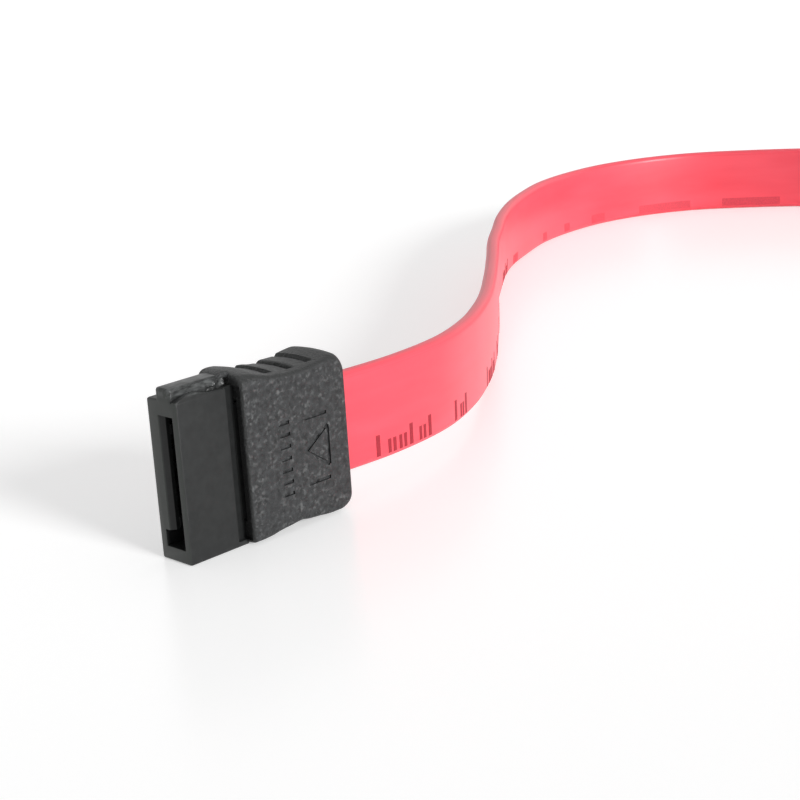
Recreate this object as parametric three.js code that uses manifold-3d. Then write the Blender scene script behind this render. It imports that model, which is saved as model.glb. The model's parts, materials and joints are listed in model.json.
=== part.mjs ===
// A drive data cable: a small seven-way signal plug with a grip boot, a flat red cable that stands on its
// edge, and a wide drive connector at the other end. Millimetres, +Z up.
// The signal plug stands on its narrow side with its mouth towards -X, and the origin is at the bottom
// centre of that plug.
import * as THREE from "three";
import { mergeVertices } from "three/addons/utils/BufferGeometryUtils.js";
import Module from "manifold-3d";

const wasm = await Module();
wasm.setup();

// Signal plug housing
const PLUG_THICKNESS = 3.6; // across the two broad faces
const PLUG_EXPOSED = 5.8; // from the mouth to the boot
const KEY_RIB_HEIGHT = 1.1;
const KEY_RIB_WIDTH = 1.65;
const KEY_RIB_OFFSET = -0.3; // middle of the rib from the middle of the plug
const KEY_RIB_LENGTH = 4.55;
const SHOULDER_START = 1.4; // the step beside the rib on the near side
const SHOULDER_HEIGHT = 0.55;
const NEAR_WALL = 0.55; // thin wall beside the slot
const SLOT_WIDTH = 1.45;
const SLOT_LENGTH = 10.9;
const SLOT_FLOOR = 1.15; // material under the slot's foot
const SLOT_ROOF = 1.25; // material over the slot's top
const SLOT_DEPTH = 4.9;
const FOOT_HEIGHT = 1.4; // the slot's L foot
const FOOT_REACH = 0.85; // how far the foot goes past the slot
const LEAD_IN = 0.45; // chamfer at the slot's far edge
const WAIST_RECESS = 0.35; // shallow recess in front of the boot
const WAIST_LENGTH = 0.85;
const WAIST_BOTTOM = 1.2; // over the slot's floor
const NUB_HEIGHT = 0.4; // small nub in the recess on the near side
const EDGE_BEVEL = 0.15;
const REAR_LENGTH = 1.7; // housing inside the boot
const REAR_INSET = 0.35; // the rear part is smaller all round
const TONGUE_LENGTH = 2.1; // ledge that carries the contact tails

// Contacts
const SIGNAL_COUNT = 7;
const CONTACT_PITCH = 1.27;
const CONTACT_WIDTH = 0.5;
const CONTACT_THICKNESS = 0.2;
const CONTACT_SEAT = 0.6; // depth of a contact behind the slot's wall
const CONTACT_CROWN = 0.25; // how far its spring bulges into the slot
const CONTACT_TIP = 1.6; // from the mouth to its tip
const CONTACT_SPRING = 2.8; // length of its sprung part
const CONTACT_TAIL = 1.9; // length behind the housing
const CONTACT_ROW_RISE = 0.3; // middle of the row over the slot's middle
const CHANNEL_PLAY = 0.15; // room round a contact in its channel

// Boot
const BOOT_LENGTH = 11.2;
const BOOT_THICKNESS = 5.6;
const BOOT_FRONT_RISE = 0.85; // its front over the waist
const BOOT_BACK_RISE = 0.75; // its back over the waist
const BOOT_WAIST_DROP = 0.45; // front and back below the waist
const BOOT_CORNER = 1.5;
const BOOT_BEVEL = 0.4;
const BOOT_WALL = 0.9;
const BOOT_EDGE_WALL = 1.2; // wall on the narrow sides
const MOULD_MARGIN = 1.1; // inner mould beyond the outer wires
const GRIP_WIDTH = 0.4; // grooves across the narrow sides
const GRIP_DEPTH = 0.45;
const GRIP_LENGTH = 4.2;
const GRIP_PLACES = [0.4, 0.58, 0.77]; // shares of the boot's length
const LIP_LENGTH = 1.1; // lip of the boot over the key rib's end
const LIP_OVERHANG = 0.15; // beyond the rib's far side
const LIP_THICKNESS = 0.9;

// Cable
const CABLE_WIDTH = 8.8;
const CABLE_THICKNESS = 1.6;
const CABLE_EXIT_DROP = 0.2; // below the contact row's middle
const CABLE_STEPS = 78;
const CORE_RADIUS = 0.45;
const CONDUCTOR_RADIUS = 0.2;
const DRAIN_RADIUS = 0.2;
const FIT_GAP = 0.3; // where neighbouring pieces meet

// Drive connector
const DRIVE_WIDTH = 42.4;
const DRIVE_FACE_THICKNESS = 6.2;
const DRIVE_FACE_DEPTH = 7.0;
const DRIVE_SHELL_THICKNESS = 8.0;
const DRIVE_SHELL_DEPTH = 10.0;
const DRIVE_SHELL_WALL = 1.2;
const DRIVE_REAR_DEPTH = 4.5; // housing inside the shells
const DRIVE_SLOT_LENGTH = 34.0;
const DRIVE_SLOT_DEPTH = 5.6;
const DRIVE_SIGNAL_SHIFT = 11.6; // from the signal row's middle to the connector's middle
const DRIVE_EAR_SLOT = 1.6; // guide slots at both ends
const POWER_COUNT = 15;
const POWER_FIRST = 9.0; // first power contact from the signal row's middle
const SECOND_PORT_MID = 6.4; // middle of the second port's row
const SECOND_PORT_PITCH = 0.8;
const SECOND_PORT_WIDTH = 0.36;
const BLANK_WIDTH = 13.0; // closed outlet for a power lead
const BLANK_HEIGHT = 3.4;
const BLANK_MID = 19.5; // from the signal row's middle
const BLANK_RIM = 0.7;

// Places that follow from the sizes
const MOUTH_X = -(PLUG_EXPOSED + BOOT_LENGTH) / 2;
const BOOT_FRONT_X = MOUTH_X + PLUG_EXPOSED;
const BOOT_BACK_X = BOOT_FRONT_X + BOOT_LENGTH;
const HALF_PLUG = PLUG_THICKNESS / 2;
const RIB_NEAR_Y = KEY_RIB_OFFSET - KEY_RIB_WIDTH / 2;
const SLOT_NEAR_Y = -HALF_PLUG + NEAR_WALL;
const SLOT_FAR_Y = SLOT_NEAR_Y + SLOT_WIDTH;
const SLOT_TOP_Z = SLOT_FLOOR + SLOT_LENGTH;
const PLUG_HEIGHT = SLOT_TOP_Z + SLOT_ROOF; // without the key rib
const CONTACT_MID_HEIGHT = SLOT_FLOOR + SLOT_LENGTH / 2 + CONTACT_ROW_RISE;
const ROW_HALF = ((SIGNAL_COUNT - 1) * CONTACT_PITCH) / 2;
const MOULD_BOTTOM = CONTACT_MID_HEIGHT - ROW_HALF - MOULD_MARGIN;
const MOULD_TOP = CONTACT_MID_HEIGHT + ROW_HALF + MOULD_MARGIN;
const BOOT_WAIST_TOP = MOULD_TOP + FIT_GAP + BOOT_EDGE_WALL;
const BOOT_WAIST_BOTTOM = MOULD_BOTTOM - FIT_GAP - BOOT_EDGE_WALL;
const BOOT_FRONT_TOP = BOOT_WAIST_TOP + BOOT_FRONT_RISE;
const BOOT_BACK_TOP = BOOT_WAIST_TOP + BOOT_BACK_RISE;
const BOOT_BOTTOM = BOOT_WAIST_BOTTOM - BOOT_WAIST_DROP;
const LIP_TOP = PLUG_HEIGHT + FIT_GAP + LIP_THICKNESS;
const CABLE_MID_HEIGHT = CONTACT_MID_HEIGHT - CABLE_EXIT_DROP;
const REAR_BOTTOM = BOOT_WAIST_BOTTOM + BOOT_EDGE_WALL; // housing inside the boot
const REAR_TOP = BOOT_WAIST_TOP - BOOT_EDGE_WALL;
const FOOT_TOP_Z = SLOT_FLOOR + FOOT_HEIGHT;
const REAR_END_X = BOOT_FRONT_X + REAR_LENGTH;
const TAIL_DROP = CONTACT_SEAT + CONTACT_THICKNESS / 2 + CONDUCTOR_RADIUS + 0.05 + SLOT_FAR_Y;
const BLACK = 0x3c3d3d;
const BOOT_BLACK = 0x4b4c4c;
const RED = 0xff6474;
const GOLD = 0xc9a35a;
const TIN = 0xb9bcc0;

// The cable's middle line from the boot to the drive connector, chosen by hand: X, Y, height of its middle.
const ROUTE = [
  [BOOT_BACK_X + FIT_GAP, 0, CABLE_MID_HEIGHT],
  [16.6, 0, 6.6],
  [24.3, 1.5, 6.4],
  [31.5, 4.8, 6.05],
  [38.2, 9.0, 5.7],
  [44.6, 13.7, 5.3],
  [50.8, 18.7, 5.0],
  [56.9, 23.8, 4.7],
  [63.0, 29.0, 4.55],
  [69.0, 34.2, 4.5],
  [75.6, 39.3, 4.45],
  [82.0, 44.1, 4.45],
  [88.7, 48.3, 4.45],
  [95.9, 51.8, 4.45],
  [103.3, 54.7, 4.45],
  [111.1, 56.1, 4.45],
  [119.2, 56.0, 4.45],
  [126.9, 53.7, 4.45],
  [133.5, 49.4, 4.45],
  [138.7, 43.0, 4.45],
  [142.9, 36.2, 4.45],
  [146.1, 28.9, 4.45],
  [148.5, 21.3, 4.45],
  [149.9, 13.4, 4.45],
  [150.3, 5.4, 4.45],
  [150.2, -2.6, 4.45],
  [149.4, -10.6, 4.45],
  [147.6, -18.4, 4.45],
  [144.5, -25.8, 4.45],
  [140.1, -32.5, 4.45],
  [134.5, -38.3, 4.45],
  [127.9, -42.9, 4.45],
  [120.5, -46.2, 4.45],
  [112.7, -48.1, 4.45],
  [104.7, -48.6, 4.45],
  [96.7, -48.6, 4.4],
  [88.7, -48.6, 4.2],
  [80.6, -48.6, 4.0],
];
const TWIST_FROM = 0.87; // share of the cable's length where it starts to turn flat
const TWIST_TO = 0.985;

// Solids

function solidOf(geometry) {
  const bare = geometry.clone();
  bare.deleteAttribute("normal");
  bare.deleteAttribute("uv");
  const merged = mergeVertices(bare, 1e-5);
  return new wasm.Manifold(
    new wasm.Mesh({
      numProp: 3,
      vertProperties: new Float32Array(merged.attributes.position.array),
      triVerts: new Uint32Array(merged.index.array),
    }),
  );
}

function geometryOf(solid) {
  const mesh = solid.getMesh();
  const positions = new Float32Array(mesh.numVert * 3);
  for (let i = 0; i < mesh.numVert; i++) {
    const from = i * mesh.numProp;
    positions.set(mesh.vertProperties.subarray(from, from + 3), i * 3);
  }
  const indexed = new THREE.BufferGeometry();
  indexed.setAttribute("position", new THREE.BufferAttribute(positions, 3));
  indexed.setIndex(new THREE.BufferAttribute(new Uint32Array(mesh.triVerts), 1));
  const flat = indexed.toNonIndexed();
  flat.computeVertexNormals();
  return flat;
}

function block([x0, x1], [y0, y1], [z0, z1]) {
  const box = new THREE.BoxGeometry(x1 - x0, y1 - y0, z1 - z0);
  return solidOf(box.translate((x0 + x1) / 2, (y0 + y1) / 2, (z0 + z1) / 2));
}

// An outline in Y and Z, extruded along X from x0.
function prismAlongX(shape, x0, length, bevel = 0) {
  const geometry = new THREE.ExtrudeGeometry(shape, {
    depth: length - 2 * bevel,
    bevelEnabled: bevel > 0,
    bevelThickness: bevel,
    bevelSize: bevel,
    bevelOffset: -bevel,
    bevelSegments: 1,
    curveSegments: 4,
  });
  const turn = new THREE.Matrix4().makeBasis(
    new THREE.Vector3(0, 1, 0),
    new THREE.Vector3(0, 0, 1),
    new THREE.Vector3(1, 0, 0),
  );
  return solidOf(geometry.applyMatrix4(turn).translate(x0 + bevel, 0, 0));
}

// An outline in X and Z, extruded across Y about the middle plane.
function prismAcrossY(shape, thickness, bevel = 0, curveSegments = 5) {
  const geometry = new THREE.ExtrudeGeometry(shape, {
    depth: thickness - 2 * bevel,
    bevelEnabled: bevel > 0,
    bevelThickness: bevel,
    bevelSize: bevel,
    bevelOffset: -bevel,
    bevelSegments: 2,
    curveSegments,
  });
  return solidOf(geometry.rotateX(Math.PI / 2).translate(0, thickness / 2 - bevel, 0));
}

function rectangle(u0, u1, v0, v1) {
  return new THREE.Shape([
    new THREE.Vector2(u0, v0),
    new THREE.Vector2(u1, v0),
    new THREE.Vector2(u1, v1),
    new THREE.Vector2(u0, v1),
  ]);
}

function polygon(points) {
  return new THREE.Shape(points.map(([u, v]) => new THREE.Vector2(u, v)));
}

function subtractAll(solid, cuts) {
  return cuts.reduce((left, cut) => left.subtract(cut), solid);
}

// Contacts

// The side view of a contact: depth from the mouth, and distance behind the slot's wall.
function contactOutline(rearDepth, tailDrop) {
  const half = CONTACT_THICKNESS / 2;
  const middle = [
    [CONTACT_TIP, CONTACT_SEAT],
    [CONTACT_TIP + CONTACT_SPRING * 0.16, CONTACT_SEAT * 0.58],
    [CONTACT_TIP + CONTACT_SPRING * 0.47, half - CONTACT_CROWN],
    [CONTACT_TIP + CONTACT_SPRING * 0.66, half - CONTACT_CROWN],
    [CONTACT_TIP + CONTACT_SPRING, CONTACT_SEAT],
    [rearDepth + 0.1, CONTACT_SEAT],
  ];
  if (tailDrop) middle.push([rearDepth + 0.7, CONTACT_SEAT - tailDrop]);
  middle.push([rearDepth + CONTACT_TAIL, CONTACT_SEAT - tailDrop]);
  const sides = [1, -1].map((side) => middle.map((point, i) => offsetPoint(middle, i, side * half)));
  return [...sides[1], ...sides[0].reverse()];
}

// A point of a bent strip's side, mitred between its two legs.
function offsetPoint(line, i, distance) {
  const direction = (a, b) => {
    const length = Math.hypot(b[0] - a[0], b[1] - a[1]);
    return [(b[0] - a[0]) / length, (b[1] - a[1]) / length];
  };
  const before = direction(line[Math.max(i - 1, 0)], line[Math.max(i, 1)]);
  const after = direction(line[Math.min(i, line.length - 2)], line[Math.min(i + 1, line.length - 1)]);
  const sum = [before[0] + after[0], before[1] + after[1]];
  const length = Math.hypot(...sum);
  const normal = [-sum[1] / length, sum[0] / length];
  const mitre = distance / (-before[1] * normal[0] + before[0] * normal[1]);
  return [line[i][0] + normal[0] * mitre, line[i][1] + normal[1] * mitre];
}

// A contact as a strip: depth runs along X, the distance behind the wall along Y, its width along Z.
function contactGeometry(rearDepth, tailDrop, width) {
  const geometry = new THREE.ExtrudeGeometry(polygon(contactOutline(rearDepth, tailDrop)), {
    depth: width,
    bevelEnabled: false,
  });
  return geometry.translate(0, 0, -width / 2);
}

// A round core along X with a bare end: from the cable towards the contact.
function coreGeometry(insulated, bare) {
  const profile = [
    new THREE.Vector2(0, 0),
    new THREE.Vector2(CORE_RADIUS, 0),
    new THREE.Vector2(CORE_RADIUS, insulated),
    new THREE.Vector2(CONDUCTOR_RADIUS, insulated),
    new THREE.Vector2(CONDUCTOR_RADIUS, insulated + bare),
    new THREE.Vector2(0, insulated + bare),
  ];
  return new THREE.LatheGeometry(profile, 12).rotateZ(Math.PI / 2);
}

function rodAlongX(x0, x1, y, z, radius, sides = 12) {
  const rod = new THREE.CylinderGeometry(radius, radius, x1 - x0, sides).rotateZ(Math.PI / 2);
  return rod.translate((x0 + x1) / 2, y, z);
}

function rowPlaces(count, pitch, middle) {
  return Array.from({ length: count }, (_, i) => middle + (i - (count - 1) / 2) * pitch);
}

// Signal plug

const signalHeights = rowPlaces(SIGNAL_COUNT, CONTACT_PITCH, CONTACT_MID_HEIGHT);
const coreIndexes = [1, 2, 4, 5];
const drainIndexes = [0, 3, 6];
const plugRearDepth = PLUG_EXPOSED + REAR_LENGTH;
const tailSideY = SLOT_FAR_Y + CONTACT_SEAT - TAIL_DROP; // middle of the contact tails
const wireY = tailSideY + CONTACT_THICKNESS / 2 + CONDUCTOR_RADIUS + 0.05;

function plugHousing() {
  const front = prismAlongX(
    rectangle(-HALF_PLUG, HALF_PLUG, 0, PLUG_HEIGHT),
    MOUTH_X,
    PLUG_EXPOSED,
    EDGE_BEVEL,
  );
  const rear = block(
    [BOOT_FRONT_X - 0.5, REAR_END_X],
    [-HALF_PLUG + REAR_INSET, HALF_PLUG - REAR_INSET],
    [REAR_BOTTOM + REAR_INSET, REAR_TOP - REAR_INSET],
  );
  const tongue = block(
    [REAR_END_X - 0.1, REAR_END_X + TONGUE_LENGTH],
    [-HALF_PLUG + REAR_INSET, tailSideY - CONTACT_THICKNESS / 2 - 0.05],
    [signalHeights[0] - CONTACT_PITCH / 2, signalHeights[SIGNAL_COUNT - 1] + CONTACT_PITCH / 2],
  );
  const ribTop = PLUG_HEIGHT + KEY_RIB_HEIGHT;
  const rib = prismAlongX(
    rectangle(RIB_NEAR_Y, RIB_NEAR_Y + KEY_RIB_WIDTH, PLUG_HEIGHT - 1, ribTop),
    MOUTH_X,
    KEY_RIB_LENGTH,
    EDGE_BEVEL,
  );
  const shoulderX = MOUTH_X + SHOULDER_START;
  const shoulderEnd = BOOT_FRONT_X - LIP_LENGTH - FIT_GAP;
  const shoulder = solidOf(
    new THREE.ExtrudeGeometry(
      polygon([
        [shoulderX - SHOULDER_HEIGHT, PLUG_HEIGHT - 0.5],
        [shoulderEnd, PLUG_HEIGHT - 0.5],
        [shoulderEnd, PLUG_HEIGHT + SHOULDER_HEIGHT],
        [shoulderX, PLUG_HEIGHT + SHOULDER_HEIGHT],
      ]),
      { depth: RIB_NEAR_Y + 0.2 + HALF_PLUG, bevelEnabled: false },
    )
      .rotateX(Math.PI / 2)
      .translate(0, RIB_NEAR_Y + 0.2, 0),
  );
  const ribFoot = block(
    [MOUTH_X - 1, shoulderX],
    [RIB_NEAR_Y - 0.2, RIB_NEAR_Y],
    [PLUG_HEIGHT - 0.18, PLUG_HEIGHT + 0.3],
  );
  const slot = block(
    [MOUTH_X - 1, MOUTH_X + SLOT_DEPTH],
    [SLOT_NEAR_Y, SLOT_FAR_Y],
    [SLOT_FLOOR, SLOT_TOP_Z],
  );
  const foot = block(
    [MOUTH_X - 1, MOUTH_X + SLOT_DEPTH],
    [SLOT_NEAR_Y, SLOT_FAR_Y + FOOT_REACH],
    [SLOT_FLOOR, FOOT_TOP_Z],
  );
  const leadIn = solidOf(
    new THREE.ExtrudeGeometry(
      polygon([
        [MOUTH_X - 0.1, SLOT_FAR_Y - 0.2],
        [MOUTH_X + LEAD_IN, SLOT_FAR_Y - 0.2],
        [MOUTH_X + LEAD_IN, SLOT_FAR_Y],
        [MOUTH_X - 0.1, SLOT_FAR_Y + LEAD_IN],
      ]),
      { depth: SLOT_TOP_Z - FOOT_TOP_Z, bevelEnabled: false },
    ).translate(0, 0, FOOT_TOP_Z),
  );
  const recesses = [-1, 1].map((side) => {
    const outer = side * (HALF_PLUG + 1);
    const inner = side * (HALF_PLUG - WAIST_RECESS);
    return block(
      [BOOT_FRONT_X - WAIST_LENGTH, BOOT_FRONT_X + 0.01],
      side < 0 ? [outer, inner] : [inner, outer],
      [SLOT_FLOOR + WAIST_BOTTOM, PLUG_HEIGHT + SHOULDER_HEIGHT + 1],
    );
  });
  const nub = block(
    [BOOT_FRONT_X - WAIST_LENGTH - 0.1, BOOT_FRONT_X - WAIST_LENGTH + 0.25],
    [-HALF_PLUG + 0.05, -HALF_PLUG + WAIST_RECESS + 0.1],
    [PLUG_HEIGHT * 0.69, PLUG_HEIGHT * 0.69 + NUB_HEIGHT],
  );
  const channels = signalHeights.flatMap((z) => [
    block(
      [MOUTH_X + CONTACT_TIP - 0.3, MOUTH_X + SLOT_DEPTH],
      [SLOT_FAR_Y - 0.1, SLOT_FAR_Y + CONTACT_SEAT + CONTACT_THICKNESS / 2 + CHANNEL_PLAY],
      [z - CONTACT_WIDTH / 2 - CHANNEL_PLAY, z + CONTACT_WIDTH / 2 + CHANNEL_PLAY],
    ),
    block(
      [MOUTH_X + SLOT_DEPTH - 0.1, REAR_END_X + 1],
      [
        SLOT_FAR_Y + CONTACT_SEAT - CONTACT_THICKNESS / 2 - CHANNEL_PLAY,
        SLOT_FAR_Y + CONTACT_SEAT + CONTACT_THICKNESS / 2 + CHANNEL_PLAY,
      ],
      [z - CONTACT_WIDTH / 2 - CHANNEL_PLAY, z + CONTACT_WIDTH / 2 + CHANNEL_PLAY],
    ),
  ]);
  const body = subtractAll(front.add(rib).add(shoulder), [ribFoot, slot, foot, leadIn, ...recesses]);
  return geometryOf(subtractAll(body.add(nub).add(rear).add(tongue), channels));
}

function bootShape() {
  const x0 = BOOT_FRONT_X;
  const x1 = BOOT_BACK_X;
  const at = (share) => x0 + share * BOOT_LENGTH;
  const shape = new THREE.Shape();
  shape.moveTo(x0, BOOT_BOTTOM);
  shape.lineTo(at(0.12), BOOT_BOTTOM);
  shape.bezierCurveTo(
    at(0.3), BOOT_BOTTOM,
    at(0.35), BOOT_WAIST_BOTTOM,
    at(0.5), BOOT_WAIST_BOTTOM,
  );
  shape.bezierCurveTo(
    at(0.62), BOOT_WAIST_BOTTOM,
    at(0.7), BOOT_BOTTOM,
    x1 - BOOT_CORNER, BOOT_BOTTOM,
  );
  shape.quadraticCurveTo(x1, BOOT_BOTTOM, x1, BOOT_BOTTOM + BOOT_CORNER);
  shape.lineTo(x1, BOOT_BACK_TOP - BOOT_CORNER * 0.8);
  shape.quadraticCurveTo(x1, BOOT_BACK_TOP, x1 - BOOT_CORNER * 0.8, BOOT_BACK_TOP);
  shape.bezierCurveTo(at(0.75), BOOT_BACK_TOP, at(0.7), BOOT_WAIST_TOP, at(0.52), BOOT_WAIST_TOP);
  shape.bezierCurveTo(at(0.35), BOOT_WAIST_TOP, at(0.3), BOOT_FRONT_TOP, at(0.12), BOOT_FRONT_TOP);
  shape.lineTo(x0, BOOT_FRONT_TOP);
  return shape;
}

function boot() {
  const lip = block(
    [BOOT_FRONT_X - LIP_LENGTH, BOOT_FRONT_X + 1.5],
    [RIB_NEAR_Y, RIB_NEAR_Y + KEY_RIB_WIDTH + LIP_OVERHANG],
    [PLUG_HEIGHT + FIT_GAP, LIP_TOP],
  );
  const mouth = block(
    [BOOT_FRONT_X - 1, REAR_END_X + TONGUE_LENGTH + FIT_GAP],
    [-HALF_PLUG + REAR_INSET - FIT_GAP, HALF_PLUG - REAR_INSET + FIT_GAP],
    [REAR_BOTTOM, REAR_TOP],
  );
  const chamber = block(
    [REAR_END_X, BOOT_BACK_X - BOOT_WALL],
    [-BOOT_THICKNESS / 2 + BOOT_WALL, BOOT_THICKNESS / 2 - BOOT_WALL],
    [MOULD_BOTTOM - FIT_GAP, MOULD_TOP + FIT_GAP],
  );
  const cableWindow = block(
    [BOOT_BACK_X - BOOT_WALL - 1, BOOT_BACK_X + 1],
    [-CABLE_THICKNESS / 2, CABLE_THICKNESS / 2],
    [
      Math.min(CABLE_MID_HEIGHT - CABLE_WIDTH / 2, signalHeights[0] - DRAIN_RADIUS) - FIT_GAP / 2,
      Math.max(CABLE_MID_HEIGHT + CABLE_WIDTH / 2, signalHeights[SIGNAL_COUNT - 1] + DRAIN_RADIUS) + FIT_GAP / 2,
    ],
  );
  const tallest = BOOT_FRONT_TOP + 1;
  const grips = GRIP_PLACES.flatMap((share) => {
    const x = BOOT_FRONT_X + share * BOOT_LENGTH;
    const across = [-GRIP_LENGTH / 2, GRIP_LENGTH / 2];
    return [
      block([x, x + GRIP_WIDTH], across, [BOOT_WAIST_TOP - GRIP_DEPTH + 0.15, tallest]),
      block([x, x + GRIP_WIDTH], across, [-1, BOOT_WAIST_BOTTOM + GRIP_DEPTH - 0.25]),
    ];
  });
  const outside = prismAcrossY(bootShape(), BOOT_THICKNESS, BOOT_BEVEL).add(lip);
  return geometryOf(subtractAll(outside, [mouth, chamber, cableWindow, ...grips]));
}

const mouldStartX = REAR_END_X + TONGUE_LENGTH + FIT_GAP;
const mouldEndX = BOOT_BACK_X - BOOT_WALL - FIT_GAP;

function innerMould() {
  const body = block(
    [mouldStartX, mouldEndX],
    [-BOOT_THICKNESS / 2 + BOOT_WALL + FIT_GAP, BOOT_THICKNESS / 2 - BOOT_WALL - FIT_GAP],
    [MOULD_BOTTOM, MOULD_TOP],
  );
  const holes = [
    ...coreIndexes.map((i) => [signalHeights[i], CORE_RADIUS]),
    ...drainIndexes.map((i) => [signalHeights[i], DRAIN_RADIUS]),
  ].map(([z, radius]) =>
    solidOf(rodAlongX(mouldStartX - 1, mouldEndX + 1, wireY, z, radius + CHANNEL_PLAY)),
  );
  return geometryOf(subtractAll(body, holes));
}

// Cable

function cableSection() {
  const half = CABLE_WIDTH / 2 - CABLE_THICKNESS / 2;
  const radius = CABLE_THICKNESS / 2;
  const shape = new THREE.Shape();
  shape.moveTo(-half, -radius);
  shape.lineTo(half, -radius);
  shape.absarc(half, 0, radius, -Math.PI / 2, Math.PI / 2, false);
  shape.lineTo(-half, radius);
  shape.absarc(-half, 0, radius, Math.PI / 2, (3 * Math.PI) / 2, false);
  return shape;
}

const smooth = (t) => t * t * (3 - 2 * t);

// A straight flat bar whose vertices are carried onto the route; its width turns from upright to flat.
function cableGeometry() {
  const curve = new THREE.CatmullRomCurve3(ROUTE.map((p) => new THREE.Vector3(...p)), false, "centripetal");
  curve.arcLengthDivisions = 800;
  const bar = new THREE.ExtrudeGeometry(cableSection(), {
    depth: 1,
    steps: CABLE_STEPS,
    bevelEnabled: false,
    curveSegments: 4,
  });
  const up = new THREE.Vector3(0, 0, 1);
  const position = bar.getAttribute("position");
  for (let i = 0; i < position.count; i++) {
    const along = Math.min(Math.max(position.getZ(i), 0), 1);
    const centre = curve.getPointAt(along);
    const forward = curve.getTangentAt(along);
    const side = new THREE.Vector3().crossVectors(up, forward).normalize();
    const rise = new THREE.Vector3().crossVectors(forward, side);
    const share = THREE.MathUtils.clamp((along - TWIST_FROM) / (TWIST_TO - TWIST_FROM), 0, 1);
    const turn = (smooth(share) * Math.PI) / 2;
    const width = rise.clone().multiplyScalar(Math.cos(turn)).addScaledVector(side, Math.sin(turn));
    const thick = side.clone().multiplyScalar(-Math.cos(turn)).addScaledVector(rise, Math.sin(turn));
    centre.addScaledVector(width, position.getX(i)).addScaledVector(thick, position.getY(i));
    position.setXYZ(i, centre.x, centre.y, centre.z);
  }
  return geometryOf(solidOf(bar));
}

// Drive connector, in its own frame: the cable enters at X = 0, its mouth is towards +X, and the middle of
// its signal row is at Y = 0.

const driveNearY = DRIVE_SIGNAL_SHIFT - DRIVE_WIDTH / 2;
const driveFarY = DRIVE_SIGNAL_SHIFT + DRIVE_WIDTH / 2;
const driveMidZ = DRIVE_SHELL_THICKNESS / 2;
const driveFaceX = DRIVE_SHELL_DEPTH + FIT_GAP + DRIVE_FACE_DEPTH;
const driveRearX = DRIVE_SHELL_DEPTH - DRIVE_REAR_DEPTH;
const driveRearDepth = driveFaceX - driveRearX;
const driveSignals = rowPlaces(SIGNAL_COUNT, CONTACT_PITCH, 0);
const driveSecond = rowPlaces(SIGNAL_COUNT, SECOND_PORT_PITCH, SECOND_PORT_MID);
const drivePowers = rowPlaces(POWER_COUNT, CONTACT_PITCH, POWER_FIRST + (POWER_COUNT - 1) * CONTACT_PITCH / 2);

function driveChannel(y, width, side) {
  const wall = driveMidZ + (side * SLOT_WIDTH) / 2;
  const half = width / 2 + CHANNEL_PLAY;
  const deep = wall + side * (CONTACT_SEAT + CONTACT_THICKNESS / 2 + CHANNEL_PLAY);
  const shallow = wall + side * (CONTACT_SEAT - CONTACT_THICKNESS / 2 - CHANNEL_PLAY);
  const range = (a, b) => [Math.min(a, b), Math.max(a, b)];
  return [
    block(
      [driveFaceX - DRIVE_SLOT_DEPTH, driveFaceX - CONTACT_TIP + 0.3],
      [y - half, y + half],
      range(wall - side * 0.1, deep),
    ),
    block([driveRearX - 1, driveFaceX - DRIVE_SLOT_DEPTH + 0.1], [y - half, y + half], range(shallow, deep)),
  ];
}

function driveHousing() {
  const faceZ = [driveMidZ - DRIVE_FACE_THICKNESS / 2, driveMidZ + DRIVE_FACE_THICKNESS / 2];
  const front = prismAlongX(
    rectangle(driveNearY, driveFarY, ...faceZ),
    DRIVE_SHELL_DEPTH + FIT_GAP,
    DRIVE_FACE_DEPTH,
    EDGE_BEVEL,
  );
  const inset = DRIVE_SHELL_WALL + FIT_GAP;
  const rear = block(
    [driveRearX, DRIVE_SHELL_DEPTH + FIT_GAP + 0.5],
    [driveNearY + inset, driveFarY - inset],
    [inset, DRIVE_SHELL_THICKNESS - inset],
  );
  const slotX = [driveFaceX - DRIVE_SLOT_DEPTH, driveFaceX + 1];
  const slotY = [DRIVE_SIGNAL_SHIFT - DRIVE_SLOT_LENGTH / 2, DRIVE_SIGNAL_SHIFT + DRIVE_SLOT_LENGTH / 2];
  const slotZ = [driveMidZ - SLOT_WIDTH / 2, driveMidZ + SLOT_WIDTH / 2];
  const footZ = [slotZ[0] - FOOT_REACH, slotZ[1]];
  const footWidth = FOOT_HEIGHT * 0.7;
  const cuts = [
    block(slotX, slotY, slotZ),
    block(slotX, [slotY[0], slotY[0] + footWidth], footZ),
    block(slotX, [slotY[1] - footWidth, slotY[1]], footZ),
    block(slotX, [driveNearY - 1, driveNearY + DRIVE_EAR_SLOT], slotZ),
    block(slotX, [driveFarY - DRIVE_EAR_SLOT, driveFarY + 1], slotZ),
    ...[...driveSignals, ...drivePowers].flatMap((y) => driveChannel(y, CONTACT_WIDTH, -1)),
    ...driveSecond.flatMap((y) => driveChannel(y, SECOND_PORT_WIDTH, 1)),
  ];
  return geometryOf(subtractAll(front.add(rear), cuts));
}

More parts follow.
